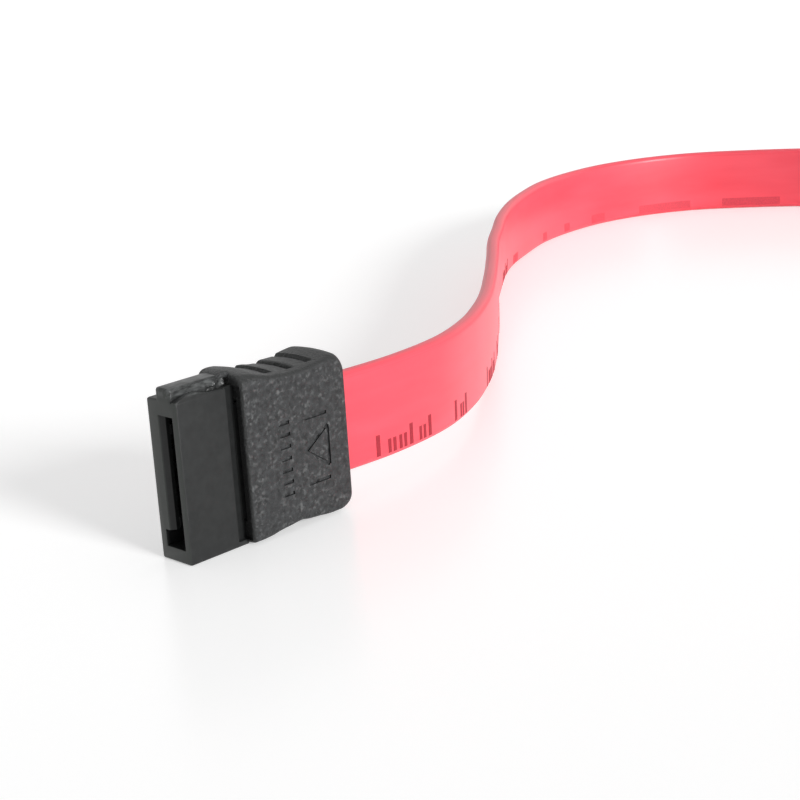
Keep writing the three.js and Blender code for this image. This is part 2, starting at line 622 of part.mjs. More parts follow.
function driveShell(side) {
  const split = FIT_GAP / 2;
  const zRange = side < 0 ? [0, driveMidZ - split] : [driveMidZ + split, DRIVE_SHELL_THICKNESS];
  const corner = 1.0;
  const plan = polygon([
    [0, driveNearY + corner],
    [corner, driveNearY],
    [DRIVE_SHELL_DEPTH, driveNearY],
    [DRIVE_SHELL_DEPTH, driveFarY],
    [corner, driveFarY],
    [0, driveFarY - corner],
  ]);
  const outside = solidOf(
    new THREE.ExtrudeGeometry(plan, { depth: zRange[1] - zRange[0], bevelEnabled: false }).translate(0, 0, zRange[0]),
  );
  const wall = DRIVE_SHELL_WALL;
  const hollow = block(
    [wall, DRIVE_SHELL_DEPTH + 1],
    [driveNearY + wall, driveFarY - wall],
    [wall, DRIVE_SHELL_THICKNESS - wall],
  );
  const cableWindow = block(
    [-1, wall + 1],
    [-CABLE_WIDTH / 2 + 0.1, CABLE_WIDTH / 2 - 0.1],
    [driveMidZ - CABLE_THICKNESS / 2, driveMidZ + CABLE_THICKNESS / 2],
  );
  const outlet = block(
    [-1, wall + 1],
    [BLANK_MID - BLANK_WIDTH / 2, BLANK_MID + BLANK_WIDTH / 2],
    [driveMidZ - BLANK_HEIGHT / 2, driveMidZ + BLANK_HEIGHT / 2],
  );
  return geometryOf(subtractAll(outside, [hollow, cableWindow, outlet]));
}

function powerOutletBlank() {
  const halfWidth = BLANK_WIDTH / 2;
  const halfHeight = BLANK_HEIGHT / 2;
  const body = block(
    [-FIT_GAP - 0.5, DRIVE_SHELL_WALL + 0.8],
    [BLANK_MID - halfWidth + FIT_GAP, BLANK_MID + halfWidth - FIT_GAP],
    [driveMidZ - halfHeight + FIT_GAP, driveMidZ + halfHeight - FIT_GAP],
  );
  const rim = block(
    [-FIT_GAP - 0.9, -FIT_GAP],
    [BLANK_MID - halfWidth - BLANK_RIM, BLANK_MID + halfWidth + BLANK_RIM],
    [driveMidZ - halfHeight - BLANK_RIM, driveMidZ + halfHeight + BLANK_RIM],
  );
  return geometryOf(body.add(rim));
}

// Assembly

const finishes = {
  housing: { color: BLACK, roughness: 0.42, metalness: 0 },
  boot: { color: BOOT_BLACK, roughness: 0.6, metalness: 0 },
  mould: { color: 0xd8d4c8, roughness: 0.5, metalness: 0 },
  contact: { color: GOLD, roughness: 0.3, metalness: 1 },
  wire: { color: TIN, roughness: 0.35, metalness: 1 },
  core: { color: 0x3f62b5, roughness: 0.5, metalness: 0 },
  cable: { color: RED, roughness: 0.45, metalness: 0 },
};

function named(name, geometry, finish) {
  const mesh = new THREE.Mesh(geometry, new THREE.MeshStandardMaterial(finishes[finish]));
  mesh.name = name;
  return mesh;
}

function signalPlug() {
  const group = new THREE.Group();
  group.add(named("plug_housing", plugHousing(), "housing"));
  group.add(named("plug_boot", boot(), "boot"));
  group.add(named("plug_inner_mould", innerMould(), "mould"));
  signalHeights.forEach((z, i) => {
    const contact = named(
      `plug_contact_${i + 1}`,
      contactGeometry(plugRearDepth, TAIL_DROP, CONTACT_WIDTH),
      "contact",
    );
    contact.position.set(MOUTH_X, SLOT_FAR_Y, z);
    group.add(contact);
  });
  const wireEndX = BOOT_BACK_X - FIT_GAP;
  const bareEnd = REAR_END_X + 0.9;
  const coreStart = mouldStartX + 0.2;
  coreIndexes.forEach((index, i) => {
    const core = named(`plug_core_${i + 1}`, coreGeometry(wireEndX - coreStart, coreStart - bareEnd), "core");
    core.position.set(wireEndX, wireY, signalHeights[index]);
    group.add(core);
  });
  drainIndexes.forEach((index, i) => {
    const drain = rodAlongX(bareEnd, wireEndX, wireY, signalHeights[index], DRAIN_RADIUS, 8);
    group.add(named(`plug_drain_${i + 1}`, drain, "wire"));
  });
  return group;
}

function driveConnector() {
  const group = new THREE.Group();
  group.add(named("drive_housing", driveHousing(), "housing"));
  group.add(named("drive_shell_lower", driveShell(-1), "boot"));
  group.add(named("drive_shell_upper", driveShell(1), "boot"));
  group.add(named("drive_power_blank", powerOutletBlank(), "housing"));
  const row = (prefix, places, width, side, tailDrop) =>
    places.forEach((y, i) => {
      const contact = named(`${prefix}_${i + 1}`, contactGeometry(driveRearDepth, tailDrop, width), "contact");
      const turn = new THREE.Matrix4().makeBasis(
        new THREE.Vector3(-1, 0, 0),
        new THREE.Vector3(0, 0, side),
        new THREE.Vector3(0, side, 0),
      );
      contact.setRotationFromMatrix(turn);
      contact.position.set(driveFaceX, y, driveMidZ + (side * SLOT_WIDTH) / 2);
      group.add(contact);
    });
  row("drive_signal_contact", driveSignals, CONTACT_WIDTH, -1, CONTACT_SEAT + SLOT_WIDTH / 4);
  row("drive_second_contact", driveSecond, SECOND_PORT_WIDTH, 1, 0);
  row("drive_power_contact", drivePowers, CONTACT_WIDTH, -1, 0);
  const tailZ = driveMidZ - SLOT_WIDTH / 2 + SLOT_WIDTH / 4;
  const insulated = driveRearX - CONTACT_TAIL - FIT_GAP - FIT_GAP;
  coreIndexes.forEach((index, i) => {
    const core = named(`drive_core_${i + 1}`, coreGeometry(insulated, CONTACT_TAIL - FIT_GAP), "core");
    core.rotation.z = Math.PI;
    core.position.set(FIT_GAP, driveSignals[index], tailZ + CONTACT_THICKNESS / 2 + CONDUCTOR_RADIUS + 0.05);
    group.add(core);
  });
  const [x, y] = ROUTE[ROUTE.length - 1];
  group.rotation.z = Math.PI;
  group.position.set(x - FIT_GAP, y, 0);
  return group;
}

const cable = new THREE.Group();
cable.add(signalPlug());
cable.add(named("cable_run", cableGeometry(), "cable"));
cable.add(driveConnector());

export default cable;
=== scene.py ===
"""A drive data cable, dressed for a studio picture.

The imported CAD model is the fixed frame. Every piece is made in millimetres in the frame of that model and
is brought to metres when it is finished, so it lies where the CAD says.
"""

from __future__ import annotations

import json
import logging
import math
from bisect import bisect_right
from collections.abc import Callable, Sequence
from dataclasses import dataclass, field
from enum import Enum

import bmesh
import bpy
from mathutils import Matrix, Vector, noise

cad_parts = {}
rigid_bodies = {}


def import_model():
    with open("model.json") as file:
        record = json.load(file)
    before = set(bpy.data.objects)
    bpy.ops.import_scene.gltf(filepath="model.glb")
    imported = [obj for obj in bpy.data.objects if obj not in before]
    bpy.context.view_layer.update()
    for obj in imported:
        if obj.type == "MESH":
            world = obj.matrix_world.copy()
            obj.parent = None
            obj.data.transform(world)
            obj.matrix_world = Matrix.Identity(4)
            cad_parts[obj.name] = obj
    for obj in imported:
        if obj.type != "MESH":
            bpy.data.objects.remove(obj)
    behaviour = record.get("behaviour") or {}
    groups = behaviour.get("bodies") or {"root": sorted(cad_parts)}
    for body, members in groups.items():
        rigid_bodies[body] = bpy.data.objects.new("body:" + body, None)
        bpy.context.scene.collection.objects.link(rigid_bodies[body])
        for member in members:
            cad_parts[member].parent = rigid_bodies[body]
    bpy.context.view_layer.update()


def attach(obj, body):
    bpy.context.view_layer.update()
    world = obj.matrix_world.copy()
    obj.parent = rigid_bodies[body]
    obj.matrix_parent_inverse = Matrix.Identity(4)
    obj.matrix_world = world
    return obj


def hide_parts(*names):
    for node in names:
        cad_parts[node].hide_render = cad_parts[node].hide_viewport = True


log = logging.getLogger("drive_cable")

Pair = tuple[float, float]
Triple = tuple[float, float, float]
Box = tuple[Pair, Pair, Pair]
Colour = tuple[int, int, int]
Inputs = dict[str | int, object]
Socket = bpy.types.NodeSocket
Piece = bpy.types.Object

MM = 0.001
WHITE = (1.0, 1.0, 1.0, 1.0)
# The pale colour of the grain's flecks, a painted glint
PAINTED_GLINT = (0.17, 0.175, 0.175, 1.0)
BODY = "root"
MOUTH_X = -8.5
BOOT_FRONT_X = -2.7
BOOT_BACK_X = 8.5
PLUG_HALF = 1.8
PLUG_TOP = 13.3

# The cable's middle line, as in the part's source, in millimetres
ROUTE: tuple[Triple, ...] = (
    (8.8, 0.0, 6.7),
    (16.6, 0.0, 6.6),
    (24.3, 1.5, 6.4),
    (31.5, 4.8, 6.05),
    (38.2, 9.0, 5.7),
    (44.6, 13.7, 5.3),
    (50.8, 18.7, 5.0),
    (56.9, 23.8, 4.7),
    (63.0, 29.0, 4.55),
    (69.0, 34.2, 4.5),
    (75.6, 39.3, 4.45),
    (82.0, 44.1, 4.45),
    (88.7, 48.3, 4.45),
    (95.9, 51.8, 4.45),
    (103.3, 54.7, 4.45),
    (111.1, 56.1, 4.45),
    (119.2, 56.0, 4.45),
    (126.9, 53.7, 4.45),
    (133.5, 49.4, 4.45),
    (138.7, 43.0, 4.45),
    (142.9, 36.2, 4.45),
    (146.1, 28.9, 4.45),
    (148.5, 21.3, 4.45),
    (149.9, 13.4, 4.45),
    (150.3, 5.4, 4.45),
    (150.2, -2.6, 4.45),
    (149.4, -10.6, 4.45),
    (147.6, -18.4, 4.45),
    (144.5, -25.8, 4.45),
    (140.1, -32.5, 4.45),
    (134.5, -38.3, 4.45),
    (127.9, -42.9, 4.45),
    (120.5, -46.2, 4.45),
    (112.7, -48.1, 4.45),
    (104.7, -48.6, 4.45),
    (96.7, -48.6, 4.4),
    (88.7, -48.6, 4.2),
    (80.6, -48.6, 4.0),
)


class Join(Enum):
    """How one form acts on another."""

    ADD = "UNION"
    CUT = "DIFFERENCE"


class Side(Enum):
    """The upper or lower half of the drive connector's shell."""

    LOWER = -1
    UPPER = 1


# Nodes and materials


@dataclass
class Wiring:
    """The nodes of one tree. Each of their inputs takes a value or another node's output."""

    tree: bpy.types.NodeTree

    def feed(self, node: bpy.types.Node, inputs: Inputs) -> None:
        """Feeds a node's sockets, which go by name or number."""
        for key, value in inputs.items():
            if isinstance(value, Socket):
                self.tree.links.new(value, node.inputs[key])
            else:
                node.inputs[key].default_value = value

    def add(self, kind: str, inputs: Inputs | None = None, **settings: object) -> bpy.types.Node:
        """Adds a node.

        Args:
            kind: The node's type name.
            inputs: What its sockets take.
            **settings: Properties of the node.

        Returns:
            The new node.
        """
        node = self.tree.nodes.new(kind)
        for name, value in settings.items():
            setattr(node, name, value)
        self.feed(node, inputs or {})
        return node

    def math(self, operation: str, first: object, second: object, clamp: bool = False) -> Socket:
        """Combines two numbers by an operation."""
        inputs = {0: first, 1: second}
        return self.add("ShaderNodeMath", inputs, operation=operation, use_clamp=clamp).outputs[0]

    def ranged(
        self, value: Socket, low: float, high: float, least: float = 0.0, most: float = 1.0
    ) -> Socket:
        """Maps a value, so that low gives the least result and high the most."""
        limits = {"Value": value, "From Min": low, "From Max": high, "To Min": least, "To Max": most}
        return self.add("ShaderNodeMapRange", limits).outputs[0]

    def blend(self, share: object, first: object, second: object) -> Socket:
        """Blends two colours by a share."""
        inputs = {"Factor": share, "A": first, "B": second}
        return self.add("ShaderNodeMix", inputs, data_type="RGBA").outputs["Result"]

    def cloud(
        self,
        place: Socket,
        scale: object,
        detail: float,
        roughness: float = 0.5,
        distortion: float = 0.0,
    ) -> Socket:
        """Draws a noise over a coordinate.

        Args:
            place: The coordinate.
            scale: The noise's scale.
            detail: Its octaves.
            roughness: How strong the finer ones are.
            distortion: How far they are bent.

        Returns:
            The noise's strength.
        """
        inputs = {
            "Vector": place,
            "Scale": scale,
            "Detail": detail,
            "Roughness": roughness,
            "Distortion": distortion,
        }
        return self.add("ShaderNodeTexNoise", inputs).outputs["Fac"]

    def stretched(self, place: Socket, scale: Triple) -> Socket:
        """Scales a coordinate along its axes."""
        return self.add("ShaderNodeMapping", {"Vector": place, "Scale": scale}).outputs[0]

    def relief(self, height: Socket, strength: float, distance: float) -> Socket:
        """Turns a height into a normal."""
        inputs = {"Strength": strength, "Distance": distance, "Height": height}
        return self.add("ShaderNodeBump", inputs).outputs["Normal"]


def linear(colour: Colour) -> tuple[float, float, float, float]:
    """Turns an 8-bit display colour into Blender's linear colour with alpha."""
    parts = [c / 255.0 for c in colour]
    bright = [p / 12.92 if p <= 0.04045 else ((p + 0.055) / 1.055) ** 2.4 for p in parts]
    return (bright[0], bright[1], bright[2], 1.0)


@dataclass(frozen=True)
class Grain:
    """The pattern of moulded plastic: a sparked grain, mottling and clusters of flecks, whose bump is relief
    and whose pale colour is painted glint.

    The scales are shares of the grain's own scale.
    """

    name: str = "Moulded grain"
    mottle_scale: float = 0.5
    fleck_scale: float = 0.6
    fleck_bend: float = 0.2
    fleck_range: Pair = (0.52, 0.92)
    fleck_height: float = 0.6
    cluster_scale: float = 0.16
    cluster_range: Pair = (0.3, 0.6)
    inputs: tuple[str, ...] = ("Grain Scale", "Mottle", "Specks", "Roughness", "Roughness Spread")

    def group(self) -> bpy.types.NodeTree:
        """Builds the pattern's shader group.

        Returns:
            The group, the same one each time.
        """
        if self.name in bpy.data.node_groups:
            return bpy.data.node_groups[self.name]
        tree = bpy.data.node_groups.new(self.name, "ShaderNodeTree")
        number, paint = "NodeSocketFloat", "NodeSocketColor"
        for label, way, kind in (
            ("Colour", "INPUT", paint),
            *((label, "INPUT", number) for label in self.inputs),
            ("Colour", "OUTPUT", paint),
            ("Roughness", "OUTPUT", number),
            ("Height", "OUTPUT", number),
        ):
            tree.interface.new_socket(name=label, in_out=way, socket_type=kind)
        nodes = Wiring(tree)
        start = nodes.add("NodeGroupInput").outputs
        place = nodes.add("ShaderNodeTexCoord").outputs["Object"]
        scales = [
            nodes.math("MULTIPLY", start["Grain Scale"], share)
            for share in (self.mottle_scale, self.fleck_scale, self.cluster_scale)
        ]
        fine = nodes.cloud(place, start["Grain Scale"], 3.0, 0.6)
        broad = nodes.cloud(place, scales[0], 1.5)
        flecks = nodes.ranged(nodes.cloud(place, scales[1], 1.5, 0.6, self.fleck_bend), *self.fleck_range)
        clusters = nodes.ranged(nodes.cloud(place, scales[2], 1.0), *self.cluster_range)

        shade = nodes.math("MULTIPLY", nodes.math("SUBTRACT", broad, 0.5), start["Mottle"])
        lift = {0: start["Colour"], "Scale": nodes.math("ADD", shade, 1.0)}
        tinted = nodes.add("ShaderNodeVectorMath", lift, operation="SCALE").outputs[0]
        speck = nodes.math("MULTIPLY", flecks, clusters)
        amount = nodes.math("MULTIPLY", speck, start["Specks"], clamp=True)
        spread = nodes.math("MULTIPLY", nodes.math("SUBTRACT", fine, 0.5), start["Roughness Spread"])
        results = {
            # The flecks' pale colour is painted glint over the grain
            "Colour": nodes.blend(amount, tinted, PAINTED_GLINT),
            "Roughness": nodes.math("ADD", spread, start["Roughness"], clamp=True),
            "Height": nodes.math("ADD", fine, nodes.math("MULTIPLY", speck, self.fleck_height)),
        }
        nodes.add("NodeGroupOutput", results)
        return tree


@dataclass(frozen=True)
class Finish:
    """What every finish has: the name of its material and of the record's slot."""

    name: str
    slot: str

    def material(self) -> bpy.types.Material:
        """Returns the finish's material, which is made once."""
        found = bpy.data.materials.get(self.name)
        if found:
            return found
        made = bpy.data.materials.new(self.name)
        made.use_nodes = True
        self.dress(Wiring(made.node_tree), made.node_tree.nodes["Principled BSDF"])
        return made

    def dress(self, nodes: Wiring, shader: bpy.types.Node) -> None:
        """Sets the finish's nodes. Each finish has its own."""
        raise NotImplementedError


@dataclass(frozen=True)
class Plastic(Finish):
    """Moulded plastic with a sparked grain."""

    colour: Colour
    roughness: float
    roughness_spread: float
    grain_scale: float
    grain_depth: float
    mottle: float
    specks: float
    specular: float

    def dress(self, nodes: Wiring, shader: bpy.types.Node) -> None:
        """Feeds the shader from the grain group."""
        settings = {
            "Colour": linear(self.colour),
            "Grain Scale": self.grain_scale,
            "Mottle": self.mottle,
            "Specks": self.specks,
            "Roughness": self.roughness,
            "Roughness Spread": self.roughness_spread,
        }
        grain = nodes.add("ShaderNodeGroup", settings, node_tree=Grain().group()).outputs
        surface = {
            "Base Color": self.tone(nodes, grain["Colour"]),
            "Roughness": grain["Roughness"],
            "Normal": nodes.relief(grain["Height"], 1.0, self.grain_depth),
            "Specular IOR Level": self.specular,
        }
        nodes.feed(shader, surface)

    def tone(self, nodes: Wiring, colour: Socket) -> Socket:
        """Gives the surface's colour, which is the grain's own unless a finish changes it."""
        return colour


@dataclass(frozen=True)
class MouthPlastic(Plastic):
    """The housing's plastic: painted light makes its mouth face paler, and its key rib is scuffed in streaks.
    """

    # Painted light: the paler colour laid on the mouth face, and how much of it
    painted_light: Colour = (68, 72, 69)
    painted_light_share: float = 0.75
    scuffed: Colour = (92, 94, 94)
    scuffed_share: float = 0.9
    mouth_reach: Pair = (0.12, 0.01)
    scuff_rise: Pair = (0.12, 0.4)
    streaks: Triple = (900.0, 2600.0, 2600.0)
    streak_range: Pair = (0.38, 0.64)

    def tone(self, nodes: Wiring, colour: Socket) -> Socket:
        """Lightens the face of the mouth with painted light, and lightens the streaks on the rib."""
        place = nodes.add("ShaderNodeTexCoord").outputs["Object"]
        axes = nodes.add("ShaderNodeSeparateXYZ", {0: place}).outputs
        inner, outer = ((MOUTH_X + reach) * MM for reach in self.mouth_reach)
        mouth = nodes.ranged(axes["X"], inner, outer, 0.0, self.painted_light_share)
        low, high = ((PLUG_TOP + rise) * MM for rise in self.scuff_rise)
        above = nodes.ranged(axes["Z"], low, high, 0.0, self.scuffed_share)
        streaks = nodes.cloud(nodes.stretched(place, self.streaks), 1.0, 2.0, 0.6)
        torn = nodes.math("MULTIPLY", above, nodes.ranged(streaks, *self.streak_range))
        # Painted light on the mouth face, over the grain's colour
        painted_light = nodes.blend(mouth, colour, linear(self.painted_light))
        return nodes.blend(torn, painted_light, linear(self.scuffed))


@dataclass(frozen=True)
class BootPlastic(Plastic):
    """The boot's plastic, with painted shade on its top and its front rim, where a flat dark colour takes the
    place of the grain's colour.
    """

    # Painted shade: the flat dark colour, and the normals over which it covers faces that look up and forward
    plain: Colour = (37, 38, 38)
    upward: Pair = (0.2, 0.55)
    forward: Pair = (-0.3, -0.6)

    def tone(self, nodes: Wiring, colour: Socket) -> Socket:
        """Paints shade where the surface faces up or forward: the grain's colour gives way to a flat dark
        colour there.
        """
        facing = nodes.add("ShaderNodeTexCoord").outputs["Normal"]
        axes = nodes.add("ShaderNodeSeparateXYZ", {0: facing}).outputs
        upward = nodes.ranged(axes["Z"], *self.upward)
        forward = nodes.ranged(axes["X"], *self.forward)
        # Painted shade on faces that look up or forward
        return nodes.blend(nodes.math("MAXIMUM", upward, forward), colour, linear(self.plain))


@dataclass(frozen=True)
class Vinyl(Finish):
    """Soft extruded vinyl, with long die lines and a satin skin."""

    colour: Colour = (255, 91, 107)
    deep: Colour = (247, 76, 92)
    roughness: float = 0.4
    coat: float = 0.13
    coat_roughness: float = 0.22
    die_lines: Triple = (0.05, 2.4, 1.0)
    line_range: Pair = (0.3, 0.62)
    line_depth: float = 0.00002
    glow: float = 0.12
    glow_depth: float = 0.0008

    def dress(self, nodes: Wiring, shader: bpy.types.Node) -> None:
        """Draws the die lines on the cable's own UV map."""
        place = nodes.add("ShaderNodeUVMap", uv_map="along_across").outputs[0]
        lines = nodes.cloud(nodes.stretched(place, self.die_lines), 1.0, 3.0)
        ramp = nodes.add("ShaderNodeValToRGB", {"Fac": lines})
        stops = zip(ramp.color_ramp.elements, self.line_range, (self.deep, self.colour))
        for stop, position, colour in stops:
            stop.position = position
            stop.color = linear(colour)
        surface = {
            "Base Color": ramp.outputs["Color"],
            "Roughness": nodes.ranged(lines, 0.0, 1.0, self.roughness - 0.06, self.roughness + 0.08),
            "Normal": nodes.relief(lines, 0.6, self.line_depth),
            "Coat Weight": self.coat,
            "Coat Roughness": self.coat_roughness,
            "Subsurface Weight": self.glow,
            "Subsurface Radius": (1.0, 0.25, 0.2),
            "Subsurface Scale": self.glow_depth,
        }
        nodes.feed(shader, surface)


@dataclass(frozen=True)
class Plating(Finish):
    """Plated or tinned metal."""

    colour: Colour
    roughness: float
    patch_scale: float = 1800.0
    dulled: float = 0.86

    def dress(self, nodes: Wiring, shader: bpy.types.Node) -> None:
        """Sets a metal whose polish varies a little."""
        place = nodes.add("ShaderNodeTexCoord").outputs["Object"]
        patches = nodes.cloud(place, self.patch_scale, 2.0)
        dull = linear(tuple(int(c * self.dulled) for c in self.colour))
        surface = {
            "Base Color": nodes.blend(patches, linear(self.colour), dull),
            "Roughness": nodes.ranged(patches, 0.0, 1.0, self.roughness - 0.1, self.roughness + 0.1),
            "Metallic": 1.0,
        }
        nodes.feed(shader, surface)


HOUSING = MouthPlastic(
    "housing_plastic", "housing", (39, 40, 40), 0.34, 0.08, 2600.0, 0.000006, 0.7, 0.0, 0.3
)
BOOT = BootPlastic("boot_plastic", "boot", (44, 45, 46), 0.5, 0.35, 4300.0, 0.0001, 3.2, 1.15, 0.4)
SHELL = Plastic("shell_plastic", "boot", (43, 44, 45), 0.5, 0.3, 4200.0, 0.00008, 2.4, 0.8, 0.4)
MOULD = Plastic("mould_plastic", "inner_mould", (214, 210, 198), 0.4, 0.1, 3000.0, 0.00001, 0.1, 0.0, 0.5)
CORE = Plastic("wire_insulation", "core", (58, 94, 180), 0.35, 0.06, 3000.0, 0.000006, 0.08, 0.0, 0.5)
INK = Plastic("print_ink", "cable", (172, 48, 60), 0.55, 0.1, 9000.0, 0.000002, 0.5, 0.0, 0.3)
FAINT_INK = Plastic("faint_print_ink", "cable", (222, 78, 92), 0.55, 0.1, 9000.0, 0.000002, 0.4, 0.0, 0.3)
GOLD = Plating("contact_gold", "contact", (214, 178, 108), 0.28)
TIN = Plating("drain_tin", "drain_wire", (190, 192, 196), 0.3)
VINYL = Vinyl("cable_vinyl", "cable")


# Forms


def mesh_of(name: str, mesh: bmesh.types.BMesh) -> bpy.types.Mesh:
    """Turns a bmesh into mesh data, and frees it."""
    data = bpy.data.meshes.new(name)
    mesh.to_mesh(data)
    mesh.free()
    return data


def new_object(name: str, data: bpy.types.ID) -> Piece:
    """Makes an object of its data and links it to the scene."""
    made = bpy.data.objects.new(name, data)
    bpy.context.scene.collection.objects.link(made)
    return made


@dataclass
class Form:
    """A solid under construction, in millimetres."""

    object: Piece

    @staticmethod
    def of(name: str, mesh: bmesh.types.BMesh) -> Form:
        """Makes a form of a bmesh, whose normals are set to point outwards."""
        bmesh.ops.recalc_face_normals(mesh, faces=mesh.faces)
        return Form(new_object(name, mesh_of(name, mesh)))

    @staticmethod
    def block(
        x: Pair,
        y: Pair,
        z: Pair,
        radius: float = 0.0,
        segments: int = 2,
    ) -> Form:
        """Makes a block.

        Args:
            x: Its ends along X.
            y: Its ends along Y.
            z: Its ends along Z.
            radius: The radius of its edges, or 0 for sharp ones.
            segments: The steps of a rounded edge.

        Returns:
            The form.
        """
        mesh = bmesh.new()
        size = Vector((x[1] - x[0], y[1] - y[0], z[1] - z[0]))
        middle = Vector((x[0] + x[1], y[0] + y[1], z[0] + z[1])) / 2
        bmesh.ops.create_cube(mesh, size=1.0, matrix=Matrix.LocRotScale(middle, None, size))
        if radius > 0:
            bmesh.ops.bevel(
                mesh,
                geom=list(mesh.edges),
                offset=radius,
                segments=segments,
                profile=0.5,
                affect="EDGES",
            )
        return Form.of("block", mesh)

    @staticmethod
    def prism(
        outline: Sequence[Pair],
        place: Callable[[float, float, float], Triple],
        low: float,
        high: float,
    ) -> Form:
        """Extrudes an outline.

        Args:
            outline: The outline's points, as two numbers each.
            place: Turns two numbers of the outline and one along the extrusion into X, Y and Z.
            low: Where the extrusion starts.
            high: Where it ends.

        Returns:
            The form.
        """
        mesh = bmesh.new()
        ends = [[mesh.verts.new(place(u, v, w)) for u, v in outline] for w in (low, high)]
        mesh.faces.new(ends[0])
        mesh.faces.new(list(reversed(ends[1])))
        count = len(outline)
        for i in range(count):
            j = (i + 1) % count
            mesh.faces.new((ends[0][i], ends[0][j], ends[1][j], ends[1][i]))
        return Form.of("prism", mesh)

    @staticmethod
    def loft(rings: Sequence[Sequence[Vector]], name: str = "loft") -> Form:
        """Joins closed rings of points into a solid, with a flat face over each end.

        Args:
            rings: The rings, which have the same number of points.
            name: The form's name.

        Returns:
            The form.
        """
        mesh = bmesh.new()
        made = [[mesh.verts.new(point) for point in ring] for ring in rings]
        for before, after in zip(made, made[1:]):
            for i in range(len(before)):
                j = (i + 1) % len(before)
                mesh.faces.new((before[i], before[j], after[j], after[i]))
        mesh.faces.new(list(reversed(made[0])))
        mesh.faces.new(made[-1])
        return Form.of(name, mesh)

    def settle(self) -> None:
        """Turns the modifiers into a plain mesh."""
        graph = bpy.context.evaluated_depsgraph_get()
        mesh = bpy.data.meshes.new_from_object(self.object.evaluated_get(graph))
        self.object.modifiers.clear()
        self.object.data = mesh

    def join(self, other: Form, how: Join) -> Form:
        """Adds another form or cuts it away, and removes the other.

        Args:
            other: The form that acts on this one.
            how: What it does.

        Returns:
            This form.
        """
        modifier = self.object.modifiers.new("join", "BOOLEAN")
        modifier.operation = how.value
        modifier.solver = "EXACT"
        modifier.object = other.object
        self.settle()
        bpy.data.objects.remove(other.object)
        return self

    def add(self, *others: Form) -> Form:
        """Adds other forms to this one."""
        for other in others:
            self.join(other, Join.ADD)
        return self

    def cut(self, *others: Form) -> Form:
        """Cuts other forms out of this one."""
        for other in others:
            self.join(other, Join.CUT)
        return self

    def soften(self, width: float, segments: int = 2, angle: float = 32.0) -> Form:
        """Rounds the edges over an angle.

        Args:
            width: The rounding's width.
            segments: Its steps.
            angle: The angle, in degrees, over which an edge is rounded.

        Returns:
            This form.
        """
        modifier = self.object.modifiers.new("soften", "BEVEL")
        modifier.width = width
        modifier.segments = segments
        modifier.limit_method = "ANGLE"
        modifier.angle_limit = math.radians(angle)
        self.settle()
        return self

    def finish(self, name: str, finish: Finish, angle: float = 30.0) -> Piece:
        """Brings the form to metres, shades it and gives it its finish.

        Args:
            name: The piece's name.
            finish: Its finish.
            angle: Edges over this angle, in degrees, stay sharp.

        Returns:
            The finished piece, which rides on the part's body.
        """
        self.object.name = name
        data = self.object.data
        data.name = name
        data.transform(Matrix.Scale(MM, 4))
        for polygon in data.polygons:
            polygon.use_smooth = True
        data.set_sharp_from_angle(angle=math.radians(angle))
        dress(self.object, finish)
        return self.object


def dress(piece: Piece, finish: Finish) -> Piece:
    """Gives a piece its one material and its body.

    Args:
        piece: The piece.
        finish: Its finish.

    Returns:
        The piece.
    """
    piece.data.materials.clear()
    piece.data.materials.append(finish.material())
    for polygon in piece.data.polygons:
        polygon.material_index = 0
    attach(piece, BODY)
    return piece


def keep_nodes(names: Sequence[str], finish: Finish) -> None:
    """Gives CAD nodes whose shape is right their finish.

    Args:
        names: The nodes.
        finish: Their finish.
    """
    nodes = bpy.data.objects
    for name in names:
        node = nodes[name]
        node.data.materials.clear()
        node.data.materials.append(finish.material())


# Repeats


def repeat_tree() -> bpy.types.NodeTree:
    """Builds the tree that sets a copy of one shape on every point, turned and sized by the point.

    Returns:
        The tree, the same one each time.
    """
    name = "Set out copies"
    if name in bpy.data.node_groups:
        return bpy.data.node_groups[name]
    tree = bpy.data.node_groups.new(name, "GeometryNodeTree")
    for label, way, kind in (
        ("Points", "INPUT", "NodeSocketGeometry"),
        ("Shape", "INPUT", "NodeSocketObject"),
        ("Finish", "INPUT", "NodeSocketMaterial"),
        ("Copies", "OUTPUT", "NodeSocketGeometry"),
    ):
        tree.interface.new_socket(name=label, in_out=way, socket_type=kind)
    nodes = Wiring(tree)
    start = nodes.add("NodeGroupInput").outputs
    shape = nodes.add("GeometryNodeObjectInfo", {"Object": start["Shape"], "As Instance": True})
    turn, size = (
        nodes.add("GeometryNodeInputNamedAttribute", {"Name": name}, data_type="FLOAT_VECTOR").outputs[0]
        for name in ("turn", "size")
    )
    places = {
        "Points": start["Points"],
        "Instance": shape.outputs["Geometry"],
        "Rotation": turn,
        "Scale": size,
    }
    copies = nodes.add("GeometryNodeInstanceOnPoints", places).outputs[0]
    real = nodes.add("GeometryNodeRealizeInstances", {0: copies}).outputs[0]
    coated = nodes.add("GeometryNodeSetMaterial", {"Geometry": real, "Material": start["Finish"]})
    nodes.add("NodeGroupOutput", {0: coated.outputs[0]})
    return tree


@dataclass(frozen=True)
class Copy:
    """One place of a repeated shape, in millimetres."""

    place: Vector
    turn: Matrix = field(default_factory=lambda: Matrix.Identity(3))
    size: Vector = field(default_factory=lambda: Vector((1.0, 1.0, 1.0)))


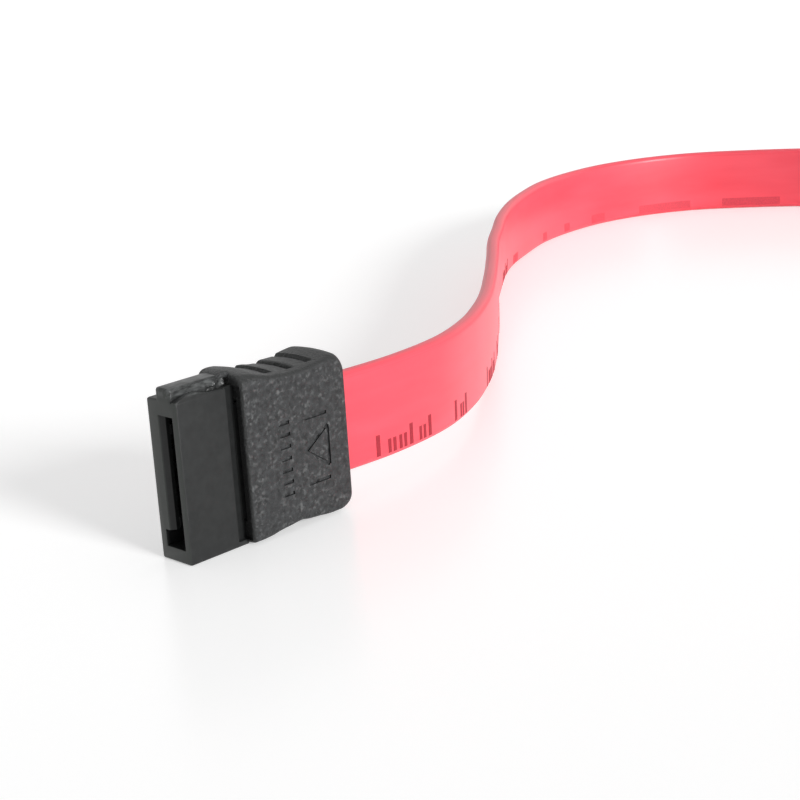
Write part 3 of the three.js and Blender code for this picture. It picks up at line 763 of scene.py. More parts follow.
def set_out(copies: Sequence[Copy], shape: Form, finish: Finish) -> Form:
    """Repeats a shape with Geometry Nodes and bakes the result to a plain mesh.

    Args:
        copies: Where the copies go.
        shape: The shape, which is removed at the end.
        finish: The finish that the tree sets.

    Returns:
        A form of all the copies.
    """
    points = bpy.data.meshes.new("copies")
    points.from_pydata([c.place for c in copies], [], [])
    turn = points.attributes.new("turn", "FLOAT_VECTOR", "POINT")
    size = points.attributes.new("size", "FLOAT_VECTOR", "POINT")
    for i, copy in enumerate(copies):
        turn.data[i].vector = Vector(copy.turn.to_euler())
        size.data[i].vector = copy.size
    made = new_object("copies", points)
    tree = repeat_tree()
    modifier = made.modifiers.new("set_out", "NODES")
    modifier.node_group = tree
    sockets = {s.name: s.identifier for s in tree.interface.items_tree if s.in_out == "INPUT"}
    modifier[sockets["Shape"]] = shape.object
    modifier[sockets["Finish"]] = finish.material()
    form = Form(made)
    form.settle()
    bpy.data.objects.remove(shape.object)
    return form


# Curves


def smooth(share: float) -> float:
    """Eases a share between 0 and 1."""
    t = min(max(share, 0.0), 1.0)
    return t * t * (3 - 2 * t)


def along(table: Sequence[Pair], x: float) -> float:
    """Reads a smooth curve through a table of points.

    Args:
        table: Points in order, as place and value.
        x: The place.

    Returns:
        The value there.
    """
    if x <= table[0][0]:
        return table[0][1]
    if x >= table[-1][0]:
        return table[-1][1]
    k = max(i for i in range(len(table) - 1) if table[i][0] <= x)
    (x1, y1), (x2, y2) = table[k], table[k + 1]

    def slope(i: int) -> float:
        """Gives the curve's slope at a point of the table."""
        if i <= 0 or i >= len(table) - 1:
            return 0.0
        left = (table[i][1] - table[i - 1][1]) / (table[i][0] - table[i - 1][0])
        right = (table[i + 1][1] - table[i][1]) / (table[i + 1][0] - table[i][0])
        return 0.0 if left * right <= 0 else 2 * left * right / (left + right)

    width = x2 - x1
    t = (x - x1) / width
    m1, m2 = slope(k) * width, slope(k + 1) * width
    return (
        (2 * t**3 - 3 * t**2 + 1) * y1
        + (t**3 - 2 * t**2 + t) * m1
        + (-2 * t**3 + 3 * t**2) * y2
        + (t**3 - t**2) * m2
    )


@dataclass
class Line:
    """A smooth line through points, which can be read by length."""

    points: Sequence[Triple]
    steps: int = 24
    samples: list[Vector] = field(default_factory=list)
    lengths: list[float] = field(default_factory=list)

    def __post_init__(self) -> None:
        """Samples the line as a centripetal Catmull-Rom curve."""
        given = [Vector(p) for p in self.points]
        ends = [2 * given[0] - given[1], *given, 2 * given[-1] - given[-2]]
        for i in range(1, len(ends) - 2):
            p = ends[i - 1 : i + 3]
            t = [0.0]
            for a, b in zip(p, p[1:]):
                t.append(t[-1] + math.sqrt((b - a).length))
            for k in range(self.steps):
                at = t[1] + (t[2] - t[1]) * k / self.steps
                first = [p[j].lerp(p[j + 1], (at - t[j]) / (t[j + 1] - t[j])) for j in range(3)]
                second = [first[j].lerp(first[j + 1], (at - t[j]) / (t[j + 2] - t[j])) for j in range(2)]
                self.samples.append(second[0].lerp(second[1], (at - t[1]) / (t[2] - t[1])))
        self.samples.append(given[-1])
        self.lengths = [0.0]
        for a, b in zip(self.samples, self.samples[1:]):
            self.lengths.append(self.lengths[-1] + (b - a).length)

    @property
    def length(self) -> float:
        """The line's whole length."""
        return self.lengths[-1]

    def at(self, distance: float) -> Vector:
        """Gives the point at a distance from the start.

        Args:
            distance: The distance, which the line's ends limit.

        Returns:
            The point.
        """
        d = min(max(distance, 0.0), self.length)
        i = min(bisect_right(self.lengths, d), len(self.lengths) - 1)
        before, after = self.lengths[i - 1], self.lengths[i]
        return self.samples[i - 1].lerp(self.samples[i], (d - before) / (after - before))

    def heading(self, distance: float) -> Vector:
        """Gives the direction at a distance from the start."""
        step = 0.4
        low = max(distance - step, 0.0)
        high = min(distance + step, self.length)
        return (self.at(high) - self.at(low)).normalized()


# The flat cable


@dataclass
class FlatCable:
    """The flat cable, which stands on its edge and turns flat before the drive connector."""

    width: float = 8.8
    thickness: float = 1.5
    leans: tuple[Pair, ...] = (
        (0.0, 0.0),
        (40.0, 1.0),
        (64.0, 2.5),
        (78.0, 4.5),
        (90.0, 4.5),
        (104.0, 1.0),
        (120.0, 0.0),
    )
    twist_from: float = 0.87
    twist_to: float = 0.985
    ring_step: float = 1.0
    print_rise: float = 1.45
    print_drop: float = 0.95
    print_step: float = 1.45
    print_depth: float = 0.04
    corner_share: float = 0.86
    corner_steps: int = 5
    uv_step: float = 0.8
    line: Line = field(default_factory=lambda: Line(ROUTE))

    def turned(self, distance: float) -> tuple[Vector, Vector, Vector]:
        """Gives the cable's frame at a distance from its start.

        Args:
            distance: The distance, in millimetres.

        Returns:
            The middle, the direction of the width and the direction out of the near face.
        """
        forward = self.line.heading(distance)
        side = Vector((0, 0, 1)).cross(forward).normalized()
        rise = forward.cross(side)
        share = (distance / self.line.length - self.twist_from) / (self.twist_to - self.twist_from)
        turn = smooth(share) * math.pi / 2
        width = rise * math.cos(turn) + side * math.sin(turn)
        near = rise * math.sin(turn) - side * math.cos(turn)
        lean = math.radians(along(self.leans, distance))
        leant = width * math.cos(lean) + near * math.sin(lean)
        return self.line.at(distance), leant, near * math.cos(lean) - width * math.sin(lean)

    def section(self) -> list[Pair]:
        """Lists the section's points.

        Returns:
            The points, as places along the width and the thickness.
        """
        half = self.width / 2
        thick = self.thickness / 2
        radius = thick * self.corner_share
        points = []
        for corner, start in (((1, 1), 0), ((-1, 1), 90), ((-1, -1), 180), ((1, -1), 270)):
            cx = corner[0] * (half - radius)
            cy = corner[1] * (thick - radius)
            for k in range(self.corner_steps + 1):
                angle = math.radians(start + 90 * k / self.corner_steps)
                points.append((cx + radius * math.cos(angle), cy + radius * math.sin(angle)))
        return points

    def make(self) -> Piece:
        """Builds the cable's skin with its UV map, in millimetres along and across.

        Returns:
            The finished cable.
        """
        section = self.section()
        count = max(2, round(self.line.length / self.ring_step))
        stops = [self.line.length * k / count for k in range(count + 1)]
        rings = []
        for stop in stops:
            middle, width, near = self.turned(stop)
            rings.append([middle + width * u + near * v for u, v in section])
        form = Form.loft(rings, "cable_skin")
        data = form.object.data
        layer = data.uv_layers.new(name="along_across")
        around = len(section)
        for polygon in data.polygons:
            if len(polygon.vertices) > 4:
                continue
            columns = [v % around for v in polygon.vertices]
            wraps = max(columns) - min(columns) > 1
            for loop, column in zip(polygon.loop_indices, columns):
                ring = data.loops[loop].vertex_index // around
                place = around if wraps and column == 0 else column
                layer.data[loop].uv = (stops[ring], place * self.uv_step)
        skin = form.finish("cable_skin", VINYL, 60.0)
        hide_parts("cable_run")
        return skin

    def print_marks(self) -> list[Piece]:
        """Sets plain strokes along the lower edge of the near face, where a cable has its print.

        Returns:
            The finished print: the firm words near the plug, and the worn ones after the bend.
        """
        long_word, short_word = "bssbsb", "bsb"
        firm = (
            (4.8, long_word),
            (17.2, short_word),
            (30.5, long_word),
            (43.0, short_word),
            (56.0, long_word),
            (69.0, short_word),
            (82.0, long_word),
        )
        worn = (
            (95.0, "dd"),
            (110.2, "d"),
            (117.4, "d"),
            (124.6, "dd"),
            (134.4, "dddddd"),
            (148.2, "dddddd"),
        )
        return [self.words("cable_print", firm, INK), self.words("worn_cable_print", worn, FAINT_INK)]

    def words(self, name: str, groups: Sequence[tuple[float, str]], ink: Finish) -> Piece:
        """Prints groups of strokes.

        Args:
            name: The print's name.
            groups: Where each group starts along the cable, and the kinds of its strokes.
            ink: The finish of the print.

        Returns:
            The finished print.
        """
        strokes = {
            "b": ((0.0, 0.46, 1.9),),
            "s": ((-0.05, 0.38, 1.25), (0.6, 0.38, 1.25)),
            "d": ((0.35, 1.48, 1.15),),
        }
        copies = []
        foot = self.print_rise - self.width / 2 - self.print_drop
        for start, word in groups:
            for i, kind in enumerate(word):
                for shift, broad, tall in strokes[kind]:
                    middle, width, near = self.turned(start + self.print_step * i + shift)
                    place = middle + width * (foot + tall / 2) + near * (self.thickness / 2)
                    turn = Matrix((width.cross(near), width, near)).transposed()
                    copies.append(Copy(place, turn, Vector((broad, tall, self.print_depth))))
        bar = Form.block((-0.5, 0.5), (-0.5, 0.5), (-0.5, 0.5))
        return set_out(copies, bar, ink).finish(name, ink)


# The signal plug


@dataclass
class SignalHousing:
    """The signal plug's moulded housing."""

    exposed: float = 5.8
    inside_boot: float = 0.3
    near_wall: float = 0.55
    slot_width: float = 1.45
    slot_floor: float = 1.15
    slot_top: float = 12.05
    recess_start: float = 0.85
    recess_depth: float = 0.4
    slot_depth: float = 4.9
    foot_height: float = 1.4
    foot_reach: float = 0.85
    lead_in: float = 0.45
    rib_low: float = -1.125
    rib_high: float = 0.62
    rib_length: float = 5.35
    rib_top: float = 14.28
    shoulder_rise: float = 0.35
    shoulder_crest: float = 2.1
    shoulder_end: float = 3.6
    pitch: float = 1.27
    row_middle: float = 6.9
    edge: float = 0.18
    waist_depth: float = 0.4
    corner_cut: float = 0.3
    rib_root: float = 0.8
    rib_edge: float = 0.26
    channel_half: float = 0.4
    channel_depth: float = 0.85
    rear: Box = ((BOOT_FRONT_X - 0.01, BOOT_FRONT_X + 1.7), (-1.45, 1.45), (2.05, 11.75))
    tongue: Box = ((BOOT_FRONT_X + 1.5, BOOT_FRONT_X + 3.8), (-1.45, -0.5), (2.5, 11.3))
    nub: Box = ((BOOT_FRONT_X - 0.95, BOOT_FRONT_X - 0.6), (-1.72, -1.2), (8.95, 9.35))

    def make(self) -> Piece:
        """Builds the housing and its openings.

        Returns:
            The finished housing.
        """
        end = MOUTH_X + self.exposed + self.inside_boot
        body = Form.block((MOUTH_X, end), (-PLUG_HALF, PLUG_HALF), (0, PLUG_TOP), self.edge, 3)
        rib = Form.block(
            (MOUTH_X, MOUTH_X + self.rib_length),
            (self.rib_low, self.rib_high),
            (PLUG_TOP - self.rib_root, self.rib_top),
            self.rib_edge,
            4,
        )
        near = -PLUG_HALF + self.near_wall
        far = near + self.slot_width
        body.add(rib, self.shoulder(), self.torn_side())
        body.cut(*self.slot(near, far), *self.top_and_waist(end))
        body.add(Form.block(*self.nub, 0.06, 2), Form.block(*self.rear), Form.block(*self.tongue))
        back = MOUTH_X + self.slot_depth
        for i in range(7):
            z = self.row_middle + (i - 3) * self.pitch
            rise = (z - self.channel_half, z + self.channel_half)
            deep = far + self.channel_depth
            body.cut(
                Form.block((MOUTH_X + 0.8, back), (far - 0.1, deep), rise),
                Form.block((back - 0.1, BOOT_FRONT_X + 2.7), (far + 0.35, deep), rise),
            )
        housing = body.finish("signal_housing", HOUSING, 35.0)
        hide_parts("plug_housing")
        return housing

    def slot(self, near: float, far: float) -> list[Form]:
        """Makes the cutters for the keyed slot.

        Args:
            near: The slot's near side along Y.
            far: Its far side.

        Returns:
            The cutters: the slot, its foot, its sloped edge and the recess of the contacts.
        """
        back = MOUTH_X + self.slot_depth
        floor, top = self.slot_floor, self.slot_top
        foot = floor + self.foot_height
        return [
            Form.block((MOUTH_X - 1, back), (near, far), (floor, top)),
            Form.block((MOUTH_X - 1, back - 0.01), (near + 0.01, far + self.foot_reach), (floor, foot)),
            self.lead_in_cutter(far),
            Form.block(
                (MOUTH_X + self.recess_start, back),
                (far - 0.01, far + self.recess_depth),
                (foot + 0.25, top - 0.25),
            ),
        ]

    def top_and_waist(self, end: float) -> list[Form]:
        """Makes the cutters for the outside of the housing.

        Args:
            end: Where the housing ends along X.

        Returns:
            The cutters: the top's far edge, the notch at the rib's foot and the waist before the boot.
        """
        waist = PLUG_HALF - self.waist_depth
        along_x = (BOOT_FRONT_X - 0.85, end + 0.1)
        return [
            self.corner_cutter(),
            Form.block(
                (MOUTH_X - 1, MOUTH_X + self.shoulder_crest - 0.2),
                (self.rib_low - 0.13, self.rib_low),
                (PLUG_TOP - 0.12, PLUG_TOP + 1),
            ),
            Form.block(along_x, (-3, -waist), (0.45, PLUG_TOP + 0.05), 0.06, 1),
            Form.block(along_x, (waist, 3), (2.35, PLUG_TOP + 2), 0.06, 1),
        ]

    def shoulder(self) -> Form:
        """Makes the step beside the rib.

        Returns:
            The step, whose front rises in a slope.
        """
        end = BOOT_FRONT_X - 0.86
        crest = MOUTH_X + self.shoulder_crest
        top = PLUG_TOP + self.shoulder_rise
        outline = [
            (MOUTH_X + 0.02, PLUG_TOP - 0.5),
            (MOUTH_X + 0.02, PLUG_TOP - 0.06),
            (MOUTH_X + 0.5, PLUG_TOP + 0.12),
            (MOUTH_X + 1.4, top - 0.04),
            (crest, top),
            (MOUTH_X + 2.8, PLUG_TOP + 0.2),
            (MOUTH_X + self.shoulder_end, PLUG_TOP + 0.05),
            (end, PLUG_TOP),
            (end, PLUG_TOP - 0.5),
        ]
        made = Form.prism(outline, lambda u, v, w: (u, w, v), -PLUG_HALF + 0.03, self.rib_low + 0.2)
        return made.soften(0.1, 2, 40.0)

    def torn_side(self) -> Form:
        """Makes the rough skin of the rib's near side.

        Returns:
            The skin, which grows rougher towards the boot.
        """
        start, end = MOUTH_X + 0.35, MOUTH_X + self.rib_length - 0.02
        low, high = PLUG_TOP - 0.25, self.rib_top - 0.16
        columns, rows = 44, 12
        rings = []
        for i in range(columns + 1):
            share = i / columns
            x = start + (end - start) * share
            swell = 0.03 + 0.17 * smooth((share - 0.35) / 0.4)
            ring = []
            for k in range(rows + 1):
                z = low + (high - low) * k / rows
                lump = noise.noise(Vector((x * 1.6, 3.0, z * 3.2)))
                crumb = noise.noise(Vector((x * 4.2, 7.0, z * 6.0)))
                proud = swell * (0.55 + 0.9 * lump + 0.5 * crumb) * math.sin(math.pi * k / rows) ** 0.5
                ring.append(Vector((x, self.rib_low - max(proud, 0.0), z)))
            ring.append(Vector((x, self.rib_low + 0.3, high)))
            ring.append(Vector((x, self.rib_low + 0.3, low)))
            rings.append(ring)
        return Form.loft(rings, "torn_side")

    def corner_cutter(self) -> Form:
        """Makes the cutter for the sloped far edge of the top.

        Returns:
            The cutter.
        """
        cut = self.corner_cut
        outline = [
            (PLUG_HALF - cut, PLUG_TOP + 0.1),
            (PLUG_HALF + 0.1, PLUG_TOP + 0.1),
            (PLUG_HALF + 0.1, PLUG_TOP - cut),
        ]
        return Form.prism(outline, lambda u, v, w: (w, u, v), MOUTH_X - 0.1, BOOT_FRONT_X + 1)

    def lead_in_cutter(self, far: float) -> Form:
        """Makes the cutter for the sloped edge at the slot's far side.

        Args:
            far: The slot's far side along Y.

        Returns:
            The cutter.
        """
        outline = [
            (MOUTH_X - 0.1, far - 0.2),
            (MOUTH_X + self.lead_in, far - 0.2),
            (MOUTH_X + self.lead_in, far),
            (MOUTH_X - 0.1, far + self.lead_in),
        ]
        top = self.slot_floor + self.foot_height
        return Form.prism(outline, lambda u, v, w: (u, v, w), top - 0.01, self.slot_top)


@dataclass
class GripBoot:
    """The moulded boot behind the housing, with its grip ridges."""

    thickness: float = 5.6
    tops: tuple[Pair, ...] = (
        (-2.7, 14.14),
        (-2.2, 14.2),
        (-1.25, 14.1),
        (-0.45, 13.9),
        (0.6, 13.64),
        (1.6, 13.54),
        (2.65, 13.42),
        (3.7, 13.42),
        (4.9, 13.5),
        (5.8, 13.58),
        (6.6, 13.7),
        (7.1, 13.78),
        (8.5, 13.94),
    )
    bottoms: tuple[Pair, ...] = (
        (-2.7, 0.05),
        (-1.7, 0.04),
        (-0.6, 0.1),
        (0.3, 0.24),
        (1.5, 0.34),
        (2.6, 0.44),
        (3.6, 0.28),
        (4.6, 0.2),
        (6.0, 0.05),
        (7.1, 0.04),
        (8.5, 0.05),
    )
    top_grooves: tuple[float, ...] = (1.1, 3.45, 5.5)
    bottom_grooves: tuple[float, ...] = (-0.1, 2.5, 4.6)
    groove_half: float = 0.2
    groove_depth: float = 0.46
    groove_reach: float = 1.85
    ramp_length: float = 1.5
    ramp_depth: float = 0.18
    corner: float = 0.45
    end_corner: float = 1.1
    end_corner_reach: float = 2.4
    back_radius: float = 1.5
    side_radius: float = 0.5
    crown: float = 0.22
    lip_length: float = 1.1
    mark_depth: float = 0.16
    mark_width: float = 0.3
    tick_half: float = 0.55
    tick_x: float = 1.35
    first_tick: float = 3.3
    tick_step: float = 1.0
    arrow: tuple[Pair, ...] = ((3.5, 6.3), (6.0, 4.6), (6.0, 8.0))
    bars: Pair = (3.5, 9.1)
    bar_ends: Pair = (3.6, 6.0)
    front_radius: float = 0.3
    back_sections: float = 1.25
    first_section: float = 0.35
    section_step: float = 0.11
    rows: int = 22
    arc: int = 6
    sides: int = 12
    # The recess for the housing, the chamber for the mould and the outlet for the cable
    openings: tuple[Box, ...] = (
        ((BOOT_FRONT_X - 1, BOOT_FRONT_X + 0.32), (-PLUG_HALF - 0.02, PLUG_HALF + 0.02), (-0.1, 13.33)),
        ((BOOT_FRONT_X - 1, BOOT_FRONT_X + 0.31), (-2.5, 2.5), (0.45, 13.31)),
        ((BOOT_FRONT_X - 1, 1.6), (-1.62, 1.62), (1.85, 12.0)),
        ((-0.9, 7.4), (-1.9, 1.9), (1.7, 12.1)),
        ((6.4, 9.5), (-0.8, 0.8), (2.1, 11.3)),
    )

    def stroke(self, start: Pair, end: Pair, width: float) -> Form:
        """Makes the cutter for one engraved stroke on the near face.

        Args:
            start: Where the stroke starts, as X and Z.
            end: Where it ends.
            width: Its width.

        Returns:
            The cutter.
        """
        a, b = Vector(start), Vector(end)
        side = (b - a).normalized().orthogonal() * (width / 2)
        outline = [a + side, b + side, b - side, a - side]
        face = -self.thickness / 2
        return Form.prism(outline, lambda u, v, w: (u, w, v), face - 0.5, face + self.mark_depth)

    def marks(self) -> Form:
        """Makes the cutter for the marks on the near face.

        Returns:
            The cutter: seven ticks, and an arrow between two bars.
        """
        tick = self.stroke((-self.tick_half, 0.0), (self.tick_half, 0.0), self.mark_width)
        rises = [self.first_tick + self.tick_step * i for i in range(7)]
        cutter = set_out([Copy(Vector((self.tick_x, 0.0, z))) for z in rises], tick, BOOT)
        for a, b in zip(self.arrow, (*self.arrow[1:], self.arrow[0])):
            cutter.add(self.stroke(a, b, self.mark_width))
        start, end = self.bar_ends
        for z in self.bars:
            cutter.add(self.stroke((start, z), (end, z), self.mark_width))
        return cutter

    def groove(self, places: Sequence[float], x: float, y: float) -> float:
        """Gives how deep the grooves cut at a place.

        Args:
            places: The grooves' middles along X.
            x: The place along X.
            y: The place across.

        Returns:
            The depth in millimetres.
        """
        fade = 1 - smooth((-y - self.groove_reach + 0.25) / 0.3)
        deep = 0.0
        for middle in places:
            away = abs(x - middle) / self.groove_half
            if away < 1.6:
                deep = max(deep, self.groove_depth * (1 - smooth((away - 0.5) / 1.0)))
            ahead = (middle - x) / self.ramp_length
            if 0 < ahead < 1:
                deep = max(deep, self.ramp_depth * (1 - ahead))
        return deep * fade

    @staticmethod
    def pulled(reach: float, radius: float) -> float:
        """Gives how far a rounded end pulls a side in, at a reach beyond where the rounding starts."""
        return radius - math.sqrt(max(radius * radius - min(max(reach, 0.0), radius) ** 2, 0.0))

    @staticmethod
    def bend(x: float, y: float, z: float, wide: float, tall: float, angles: Sequence[float]) -> list[Vector]:
        """Lists points on a rounded corner about its middle, at angles in degrees."""
        turns = [math.radians(angle) for angle in angles]
        return [Vector((x, y + wide * math.cos(t), z + tall * math.sin(t))) for t in turns]

    def ring(self, x: float) -> list[Vector]:
        """Lists the points of the boot's section.

        Args:
            x: The place along X.

        Returns:
            The points, clockwise from the near end of the top.
        """
        front, back = BOOT_FRONT_X, BOOT_BACK_X
        ahead = self.pulled(front + self.front_radius - x, self.front_radius)
        half = self.thickness / 2 - ahead - self.pulled(x - (back - self.side_radius), self.side_radius)
        pull = ahead + self.pulled(x - (back - self.back_radius), self.back_radius)
        top = along(self.tops, x) - pull
        bottom = along(self.bottoms, x) + pull
        corner = self.corner
        from_end = min(x - front, back - x)
        upper = corner + (self.end_corner - corner) * (1 - smooth(from_end / self.end_corner_reach))
        rows, arc, sides = self.rows, self.arc, self.sides
        points = []
        for k in range(rows + 1):
            y = -(half - upper) + 2 * (half - upper) * k / rows
            z = top - self.crown * (y / half) ** 2 - self.groove(self.top_grooves, x, y)
            points.append(Vector((x, y, z)))
        sag = top - self.crown * ((half - upper) / half) ** 2
        rise = bottom + self.crown * ((half - corner) / half) ** 2
        deep = self.groove(self.top_grooves, x, half)
        turns = [90 - 90 * k / arc for k in range(1, arc + 1)]
        points += self.bend(x, half - upper, sag - upper, upper, upper - deep, turns)
        for k in range(1, sides):
            points.append(Vector((x, half, sag - upper + (rise - sag + upper + corner) * k / sides)))
        turns = [-90 * k / arc for k in range(arc + 1)]
        points += self.bend(x, half - corner, rise + corner, corner, corner, turns)
        for k in range(1, rows + 1):
            y = (half - corner) - 2 * (half - corner) * k / rows
            z = bottom + self.crown * (y / half) ** 2 + self.groove(self.bottom_grooves, x, y)
            points.append(Vector((x, y, z)))
        turns = [-90 - 90 * k / arc for k in range(1, arc + 1)]
        points += self.bend(x, -half + corner, rise + corner, corner, corner, turns)
        for k in range(1, sides):
            points.append(Vector((x, -half, rise + corner + (sag - rise - corner - upper) * k / sides)))
        turns = [180 - 90 * k / arc for k in range(arc)]
        return points + self.bend(x, -half + upper, sag - upper, upper, upper, turns)

    def stops(self) -> list[float]:
        """Lists the places along X where the boot has a section.

        Returns:
            The places, which are closer together at the rounded ends.
        """
        places = {BOOT_FRONT_X, BOOT_BACK_X}
        last = BOOT_BACK_X - self.back_sections
        for k in range(9):
            share = 1 - math.cos(math.pi / 2 * k / 8)
            places.add(round(BOOT_FRONT_X + self.front_radius * share, 4))
            places.add(round(BOOT_BACK_X - self.back_sections * share, 4))
        x = BOOT_FRONT_X + self.first_section
        while x < last:
            places.add(round(x, 4))
            x += self.section_step
        return sorted(places)

    def lip(self) -> Form:
        """Makes the thin lip over the end of the key rib.

        Returns:
            The lip, which is thicker where it leaves the boot.
        """
        front = BOOT_FRONT_X - self.lip_length
        outline = [
            (front, 14.05),
            (front, 14.26),
            (front + 0.35, 14.38),
            (front + 0.9, 14.44),
            (BOOT_FRONT_X + 0.2, 14.38),
            (BOOT_FRONT_X + 0.5, 13.9),
            (BOOT_FRONT_X, 13.85),
        ]
        return Form.prism(outline, lambda u, v, w: (u, w, v), -1.1, 0.76).soften(0.1, 2, 25.0)

    def make(self) -> Piece:
        """Builds the boot with its lip, its inner chamber and its marks.

        Returns:
            The finished boot.
        """
        body = Form.loft([self.ring(x) for x in self.stops()], "boot")
        body.add(self.lip())
        body.cut(*(Form.block(*opening) for opening in self.openings), self.marks())
        boot = body.finish("grip_boot", BOOT, 38.0)
        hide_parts("plug_boot")
        return boot


@dataclass
class SignalPlug:
    """The signal plug: housing, boot, contacts and wires."""

    housing: SignalHousing = field(default_factory=SignalHousing)
    boot: GripBoot = field(default_factory=GripBoot)

    def make(self) -> list[Piece]:
        """Builds the housing and the boot, and dresses the pieces inside them.

        Returns:
            The new pieces.
        """
        made = [self.housing.make(), self.boot.make()]
        keep_nodes([f"plug_contact_{i}" for i in range(1, 8)], GOLD)
        keep_nodes([f"plug_core_{i}" for i in range(1, 5)], CORE)
        keep_nodes([f"plug_drain_{i}" for i in range(1, 4)], TIN)
        keep_nodes(["plug_inner_mould"], MOULD)
        return made


# The drive connector


@dataclass
class DriveConnector:
    """The wide connector, whose mouth is towards -X."""

    back_x: float = 80.3
    low_y: float = -81.4
    high_y: float = -39.0
    cable_y: float = -48.6
    blank_y: Pair = (-74.6, -61.6)
    middle_z: float = 4.0
    shell_depth: float = 10.0
    shell_wall: float = 1.2
    shell_corner: float = 1.4
    shell_height: float = 8.0
    split: float = 0.15
    cable_slot: Pair = (4.5, 0.8)
    blank_rise: float = 1.7
    first_grip: float = 2.4
    grip_count: int = 6
    grip_step: float = 1.5
    grip_depth: float = 0.35
    grip_half: float = 3.2
    grip_width: float = 0.35

    def grips(self, side: Side) -> Form:
        """Makes the cutter for the grip grooves at both ends of a half.

        Args:
            side: Which half.

        Returns:
            The cutter.
        """
        sizes = (self.grip_half, self.grip_width, self.grip_depth)
        bar = Form.block(*((-size, size) for size in sizes), 0.2, 2)
        height = 0.0 if side is Side.LOWER else self.shell_height
        middle = self.back_x - self.shell_depth / 2
        reach = [self.first_grip + self.grip_step * i for i in range(self.grip_count)]
        rows = [self.low_y + r for r in reach] + [self.high_y - r for r in reach]
        return set_out([Copy(Vector((middle, y, height))) for y in rows], bar, SHELL)

    def shell(self, side: Side) -> Piece:
        """Builds one half of the back shell.

        Args:
            side: Which half.

        Returns:
            The finished half.
        """
        front = self.back_x - self.shell_depth
        if side is Side.LOWER:
            z = (0.0, self.middle_z - self.split)
        else:
            z = (self.middle_z + self.split, self.shell_height)
        corner = self.shell_corner
        outline = [
            (front, self.low_y),
            (self.back_x - corner, self.low_y),
            (self.back_x, self.low_y + corner),
            (self.back_x, self.high_y - corner),
            (self.back_x - corner, self.high_y),
            (front, self.high_y),
        ]
        body = Form.prism(outline, lambda u, v, w: (u, v, w), z[0], z[1]).soften(0.3, 3, 30.0)
        wall = self.shell_wall
        wide, tall = self.cable_slot
        outlet = (self.back_x - wall - 1, self.back_x + 1)
        body.cut(
            Form.block(
                (front - 1, self.back_x - wall),
                (self.low_y + wall, self.high_y - wall),
                (wall, self.shell_height - wall),
            ),
            Form.block(
                outlet,
                (self.cable_y - wide, self.cable_y + wide),
                (self.middle_z - tall, self.middle_z + tall),
            ),
            Form.block(
                outlet, self.blank_y, (self.middle_z - self.blank_rise, self.middle_z + self.blank_rise)
            ),
            self.grips(side),
        )
        name = f"drive_shell_{side.name.lower()}"
        made = body.finish(f"{name}_dressed", SHELL, 35.0)
        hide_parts(name)
        return made

    def make(self) -> list[Piece]:
        """Builds the shells and dresses the housing and the contacts.

        Returns:
            The pieces that go with the cable.
        """
        rows = (("signal", 7), ("second", 7), ("power", 15))
        contacts = [f"drive_{row}_contact_{i + 1}" for row, count in rows for i in range(count)]
        cores = [f"drive_core_{i}" for i in range(1, 5)]
        kept = ["drive_housing", "drive_power_blank"]
        keep_nodes(kept, HOUSING)
        return [
            self.shell(Side.LOWER),
            self.shell(Side.UPPER),
            gathered("drive_contacts", contacts, GOLD),
            gathered("drive_cores", cores, CORE),
            *(bpy.data.objects[name] for name in kept),
        ]


def gathered(name: str, names: Sequence[str], finish: Finish) -> Piece:
    """Makes one piece of several like CAD nodes and lets it stand for them.

    Args:
        name: The piece's name.
        names: The nodes.
        finish: The piece's finish.

    Returns:
        The piece.
    """
    mesh = bmesh.new()
    for node in names:
        mesh.from_mesh(bpy.data.objects[node].data)
    bmesh.ops.remove_doubles(mesh, verts=mesh.verts, dist=1e-7)
    made = dress(new_object(name, mesh_of(name, mesh)), finish)
    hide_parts(*names)
    return made


# The studio


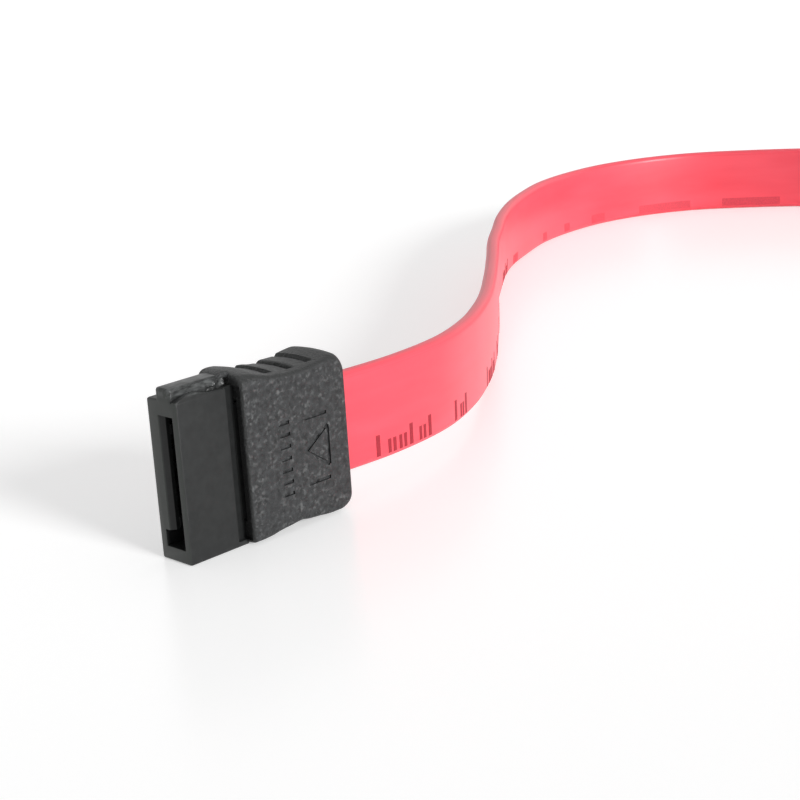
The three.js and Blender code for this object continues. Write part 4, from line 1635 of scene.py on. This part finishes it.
@dataclass
class Studio:
    """The camera, the lamps and the floor."""

    lens: float = 77.49
    camera_place: Triple = (-85.272, -102.853, 49.073)
    right: Triple = (0.69322, -0.71798, -0.0629)
    up: Triple = (0.24355, 0.15122, 0.95802)
    forward: Triple = (0.67833, 0.67944, -0.27969)
    sensor: float = 36.0
    clip_start: float = 0.005
    floor_size: float = 3.0
    floor_white: float = 0.95
    floor_roughness: float = 0.26
    floor_specular: float = 0.28
    floor_glow: float = 0.385
    sky: float = 0.24
    sky_seen: float = 1.0
    sky_mirrored: float = 0.85
    # A low wide key in front and a weak lamp overhead
    lamps: tuple[tuple[str, float, float, float, float], ...] = (
        ("key", -90.0, 20.0, 17.0, 2.65),
        ("overhead", 40.0, 75.0, 60.0, 0.28),
    )

    def camera(self) -> None:
        """Sets the camera where the photograph was taken."""
        data = bpy.data.cameras.new("camera")
        data.lens = self.lens
        data.sensor_width = self.sensor
        data.clip_start = self.clip_start
        made = new_object("camera", data)
        columns = (Vector(self.right), Vector(self.up), -Vector(self.forward))
        turn = Matrix(columns).transposed().to_4x4()
        made.matrix_world = Matrix.Translation(Vector(self.camera_place) * MM) @ turn
        bpy.context.scene.camera = made

    def lamp(self, name: str, azimuth: float, elevation: float, spread: float, strength: float) -> None:
        """Adds a soft lamp so far away that it lights the whole floor alike.

        Args:
            name: Its name.
            azimuth: Where it stands, in degrees from +X towards +Y.
            elevation: How high it stands, in degrees.
            spread: How wide it looks from the object, in degrees.
            strength: Its strength.
        """
        data = bpy.data.lights.new(name, "SUN")
        data.angle = math.radians(spread)
        data.energy = strength
        turn, rise = math.radians(azimuth), math.radians(elevation)
        towards = Vector((math.cos(turn) * math.cos(rise), math.sin(turn) * math.cos(rise), math.sin(rise)))
        made = new_object(name, data)
        made.matrix_world = (-towards).to_track_quat("-Z", "Y").to_matrix().to_4x4()

    def floor(self) -> None:
        """Lays the white floor, which mirrors the object faintly."""
        mesh = bmesh.new()
        bmesh.ops.create_grid(mesh, x_segments=1, y_segments=1, size=self.floor_size)
        data = mesh_of("floor", mesh)
        material = bpy.data.materials.new("floor_white")
        material.use_nodes = True
        nodes = Wiring(material.node_tree)
        rays = nodes.add("ShaderNodeLightPath").outputs
        seen = nodes.math("MAXIMUM", rays["Is Camera Ray"], rays["Is Glossy Ray"])
        surface = {
            "Base Color": (self.floor_white, self.floor_white, self.floor_white, 1.0),
            "Roughness": self.floor_roughness,
            "Specular IOR Level": self.floor_specular,
            "Emission Color": WHITE,
            "Emission Strength": nodes.math("MULTIPLY", seen, self.floor_glow),
        }
        nodes.feed(material.node_tree.nodes["Principled BSDF"], surface)
        data.materials.append(material)
        new_object("floor", data)

    def world(self) -> None:
        """Sets a plain white sky that lights at a low level."""
        world = bpy.data.worlds.new("studio")
        bpy.context.scene.world = world
        world.use_nodes = True
        nodes = Wiring(world.node_tree)
        rays = nodes.add("ShaderNodeLightPath").outputs
        seen = nodes.ranged(rays["Is Camera Ray"], 0.0, 1.0, self.sky, self.sky_seen)
        mirrored = nodes.ranged(rays["Is Glossy Ray"], 0.0, 1.0, self.sky, self.sky_mirrored)
        level = {"Color": WHITE, "Strength": nodes.math("MAXIMUM", seen, mirrored)}
        nodes.feed(world.node_tree.nodes["Background"], level)


# Main


def main() -> None:
    """Builds the scene: camera and cable first, then the plug, the connector and the studio."""
    logging.basicConfig(level=logging.INFO, format="%(message)s")
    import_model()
    bpy.context.scene.view_settings.view_transform = "Standard"
    studio = Studio()
    studio.camera()
    cable = FlatCable()
    skin = cable.make()
    prints = cable.print_marks()
    log.info("cable: %.1f mm", cable.line.length)
    for piece in SignalPlug().make():
        log.info("signal plug: %s", piece.name)
    connector = DriveConnector().make()
    for piece in connector:
        log.info("drive connector: %s", piece.name)
    count = round(cable.line.length / 2.0)
    path = [cable.line.at(cable.line.length * k / count) * MM for k in range(count + 1)]
    studio.floor()
    studio.world()
    for lamp in studio.lamps:
        studio.lamp(*lamp)


if __name__ == "__main__":
    main()
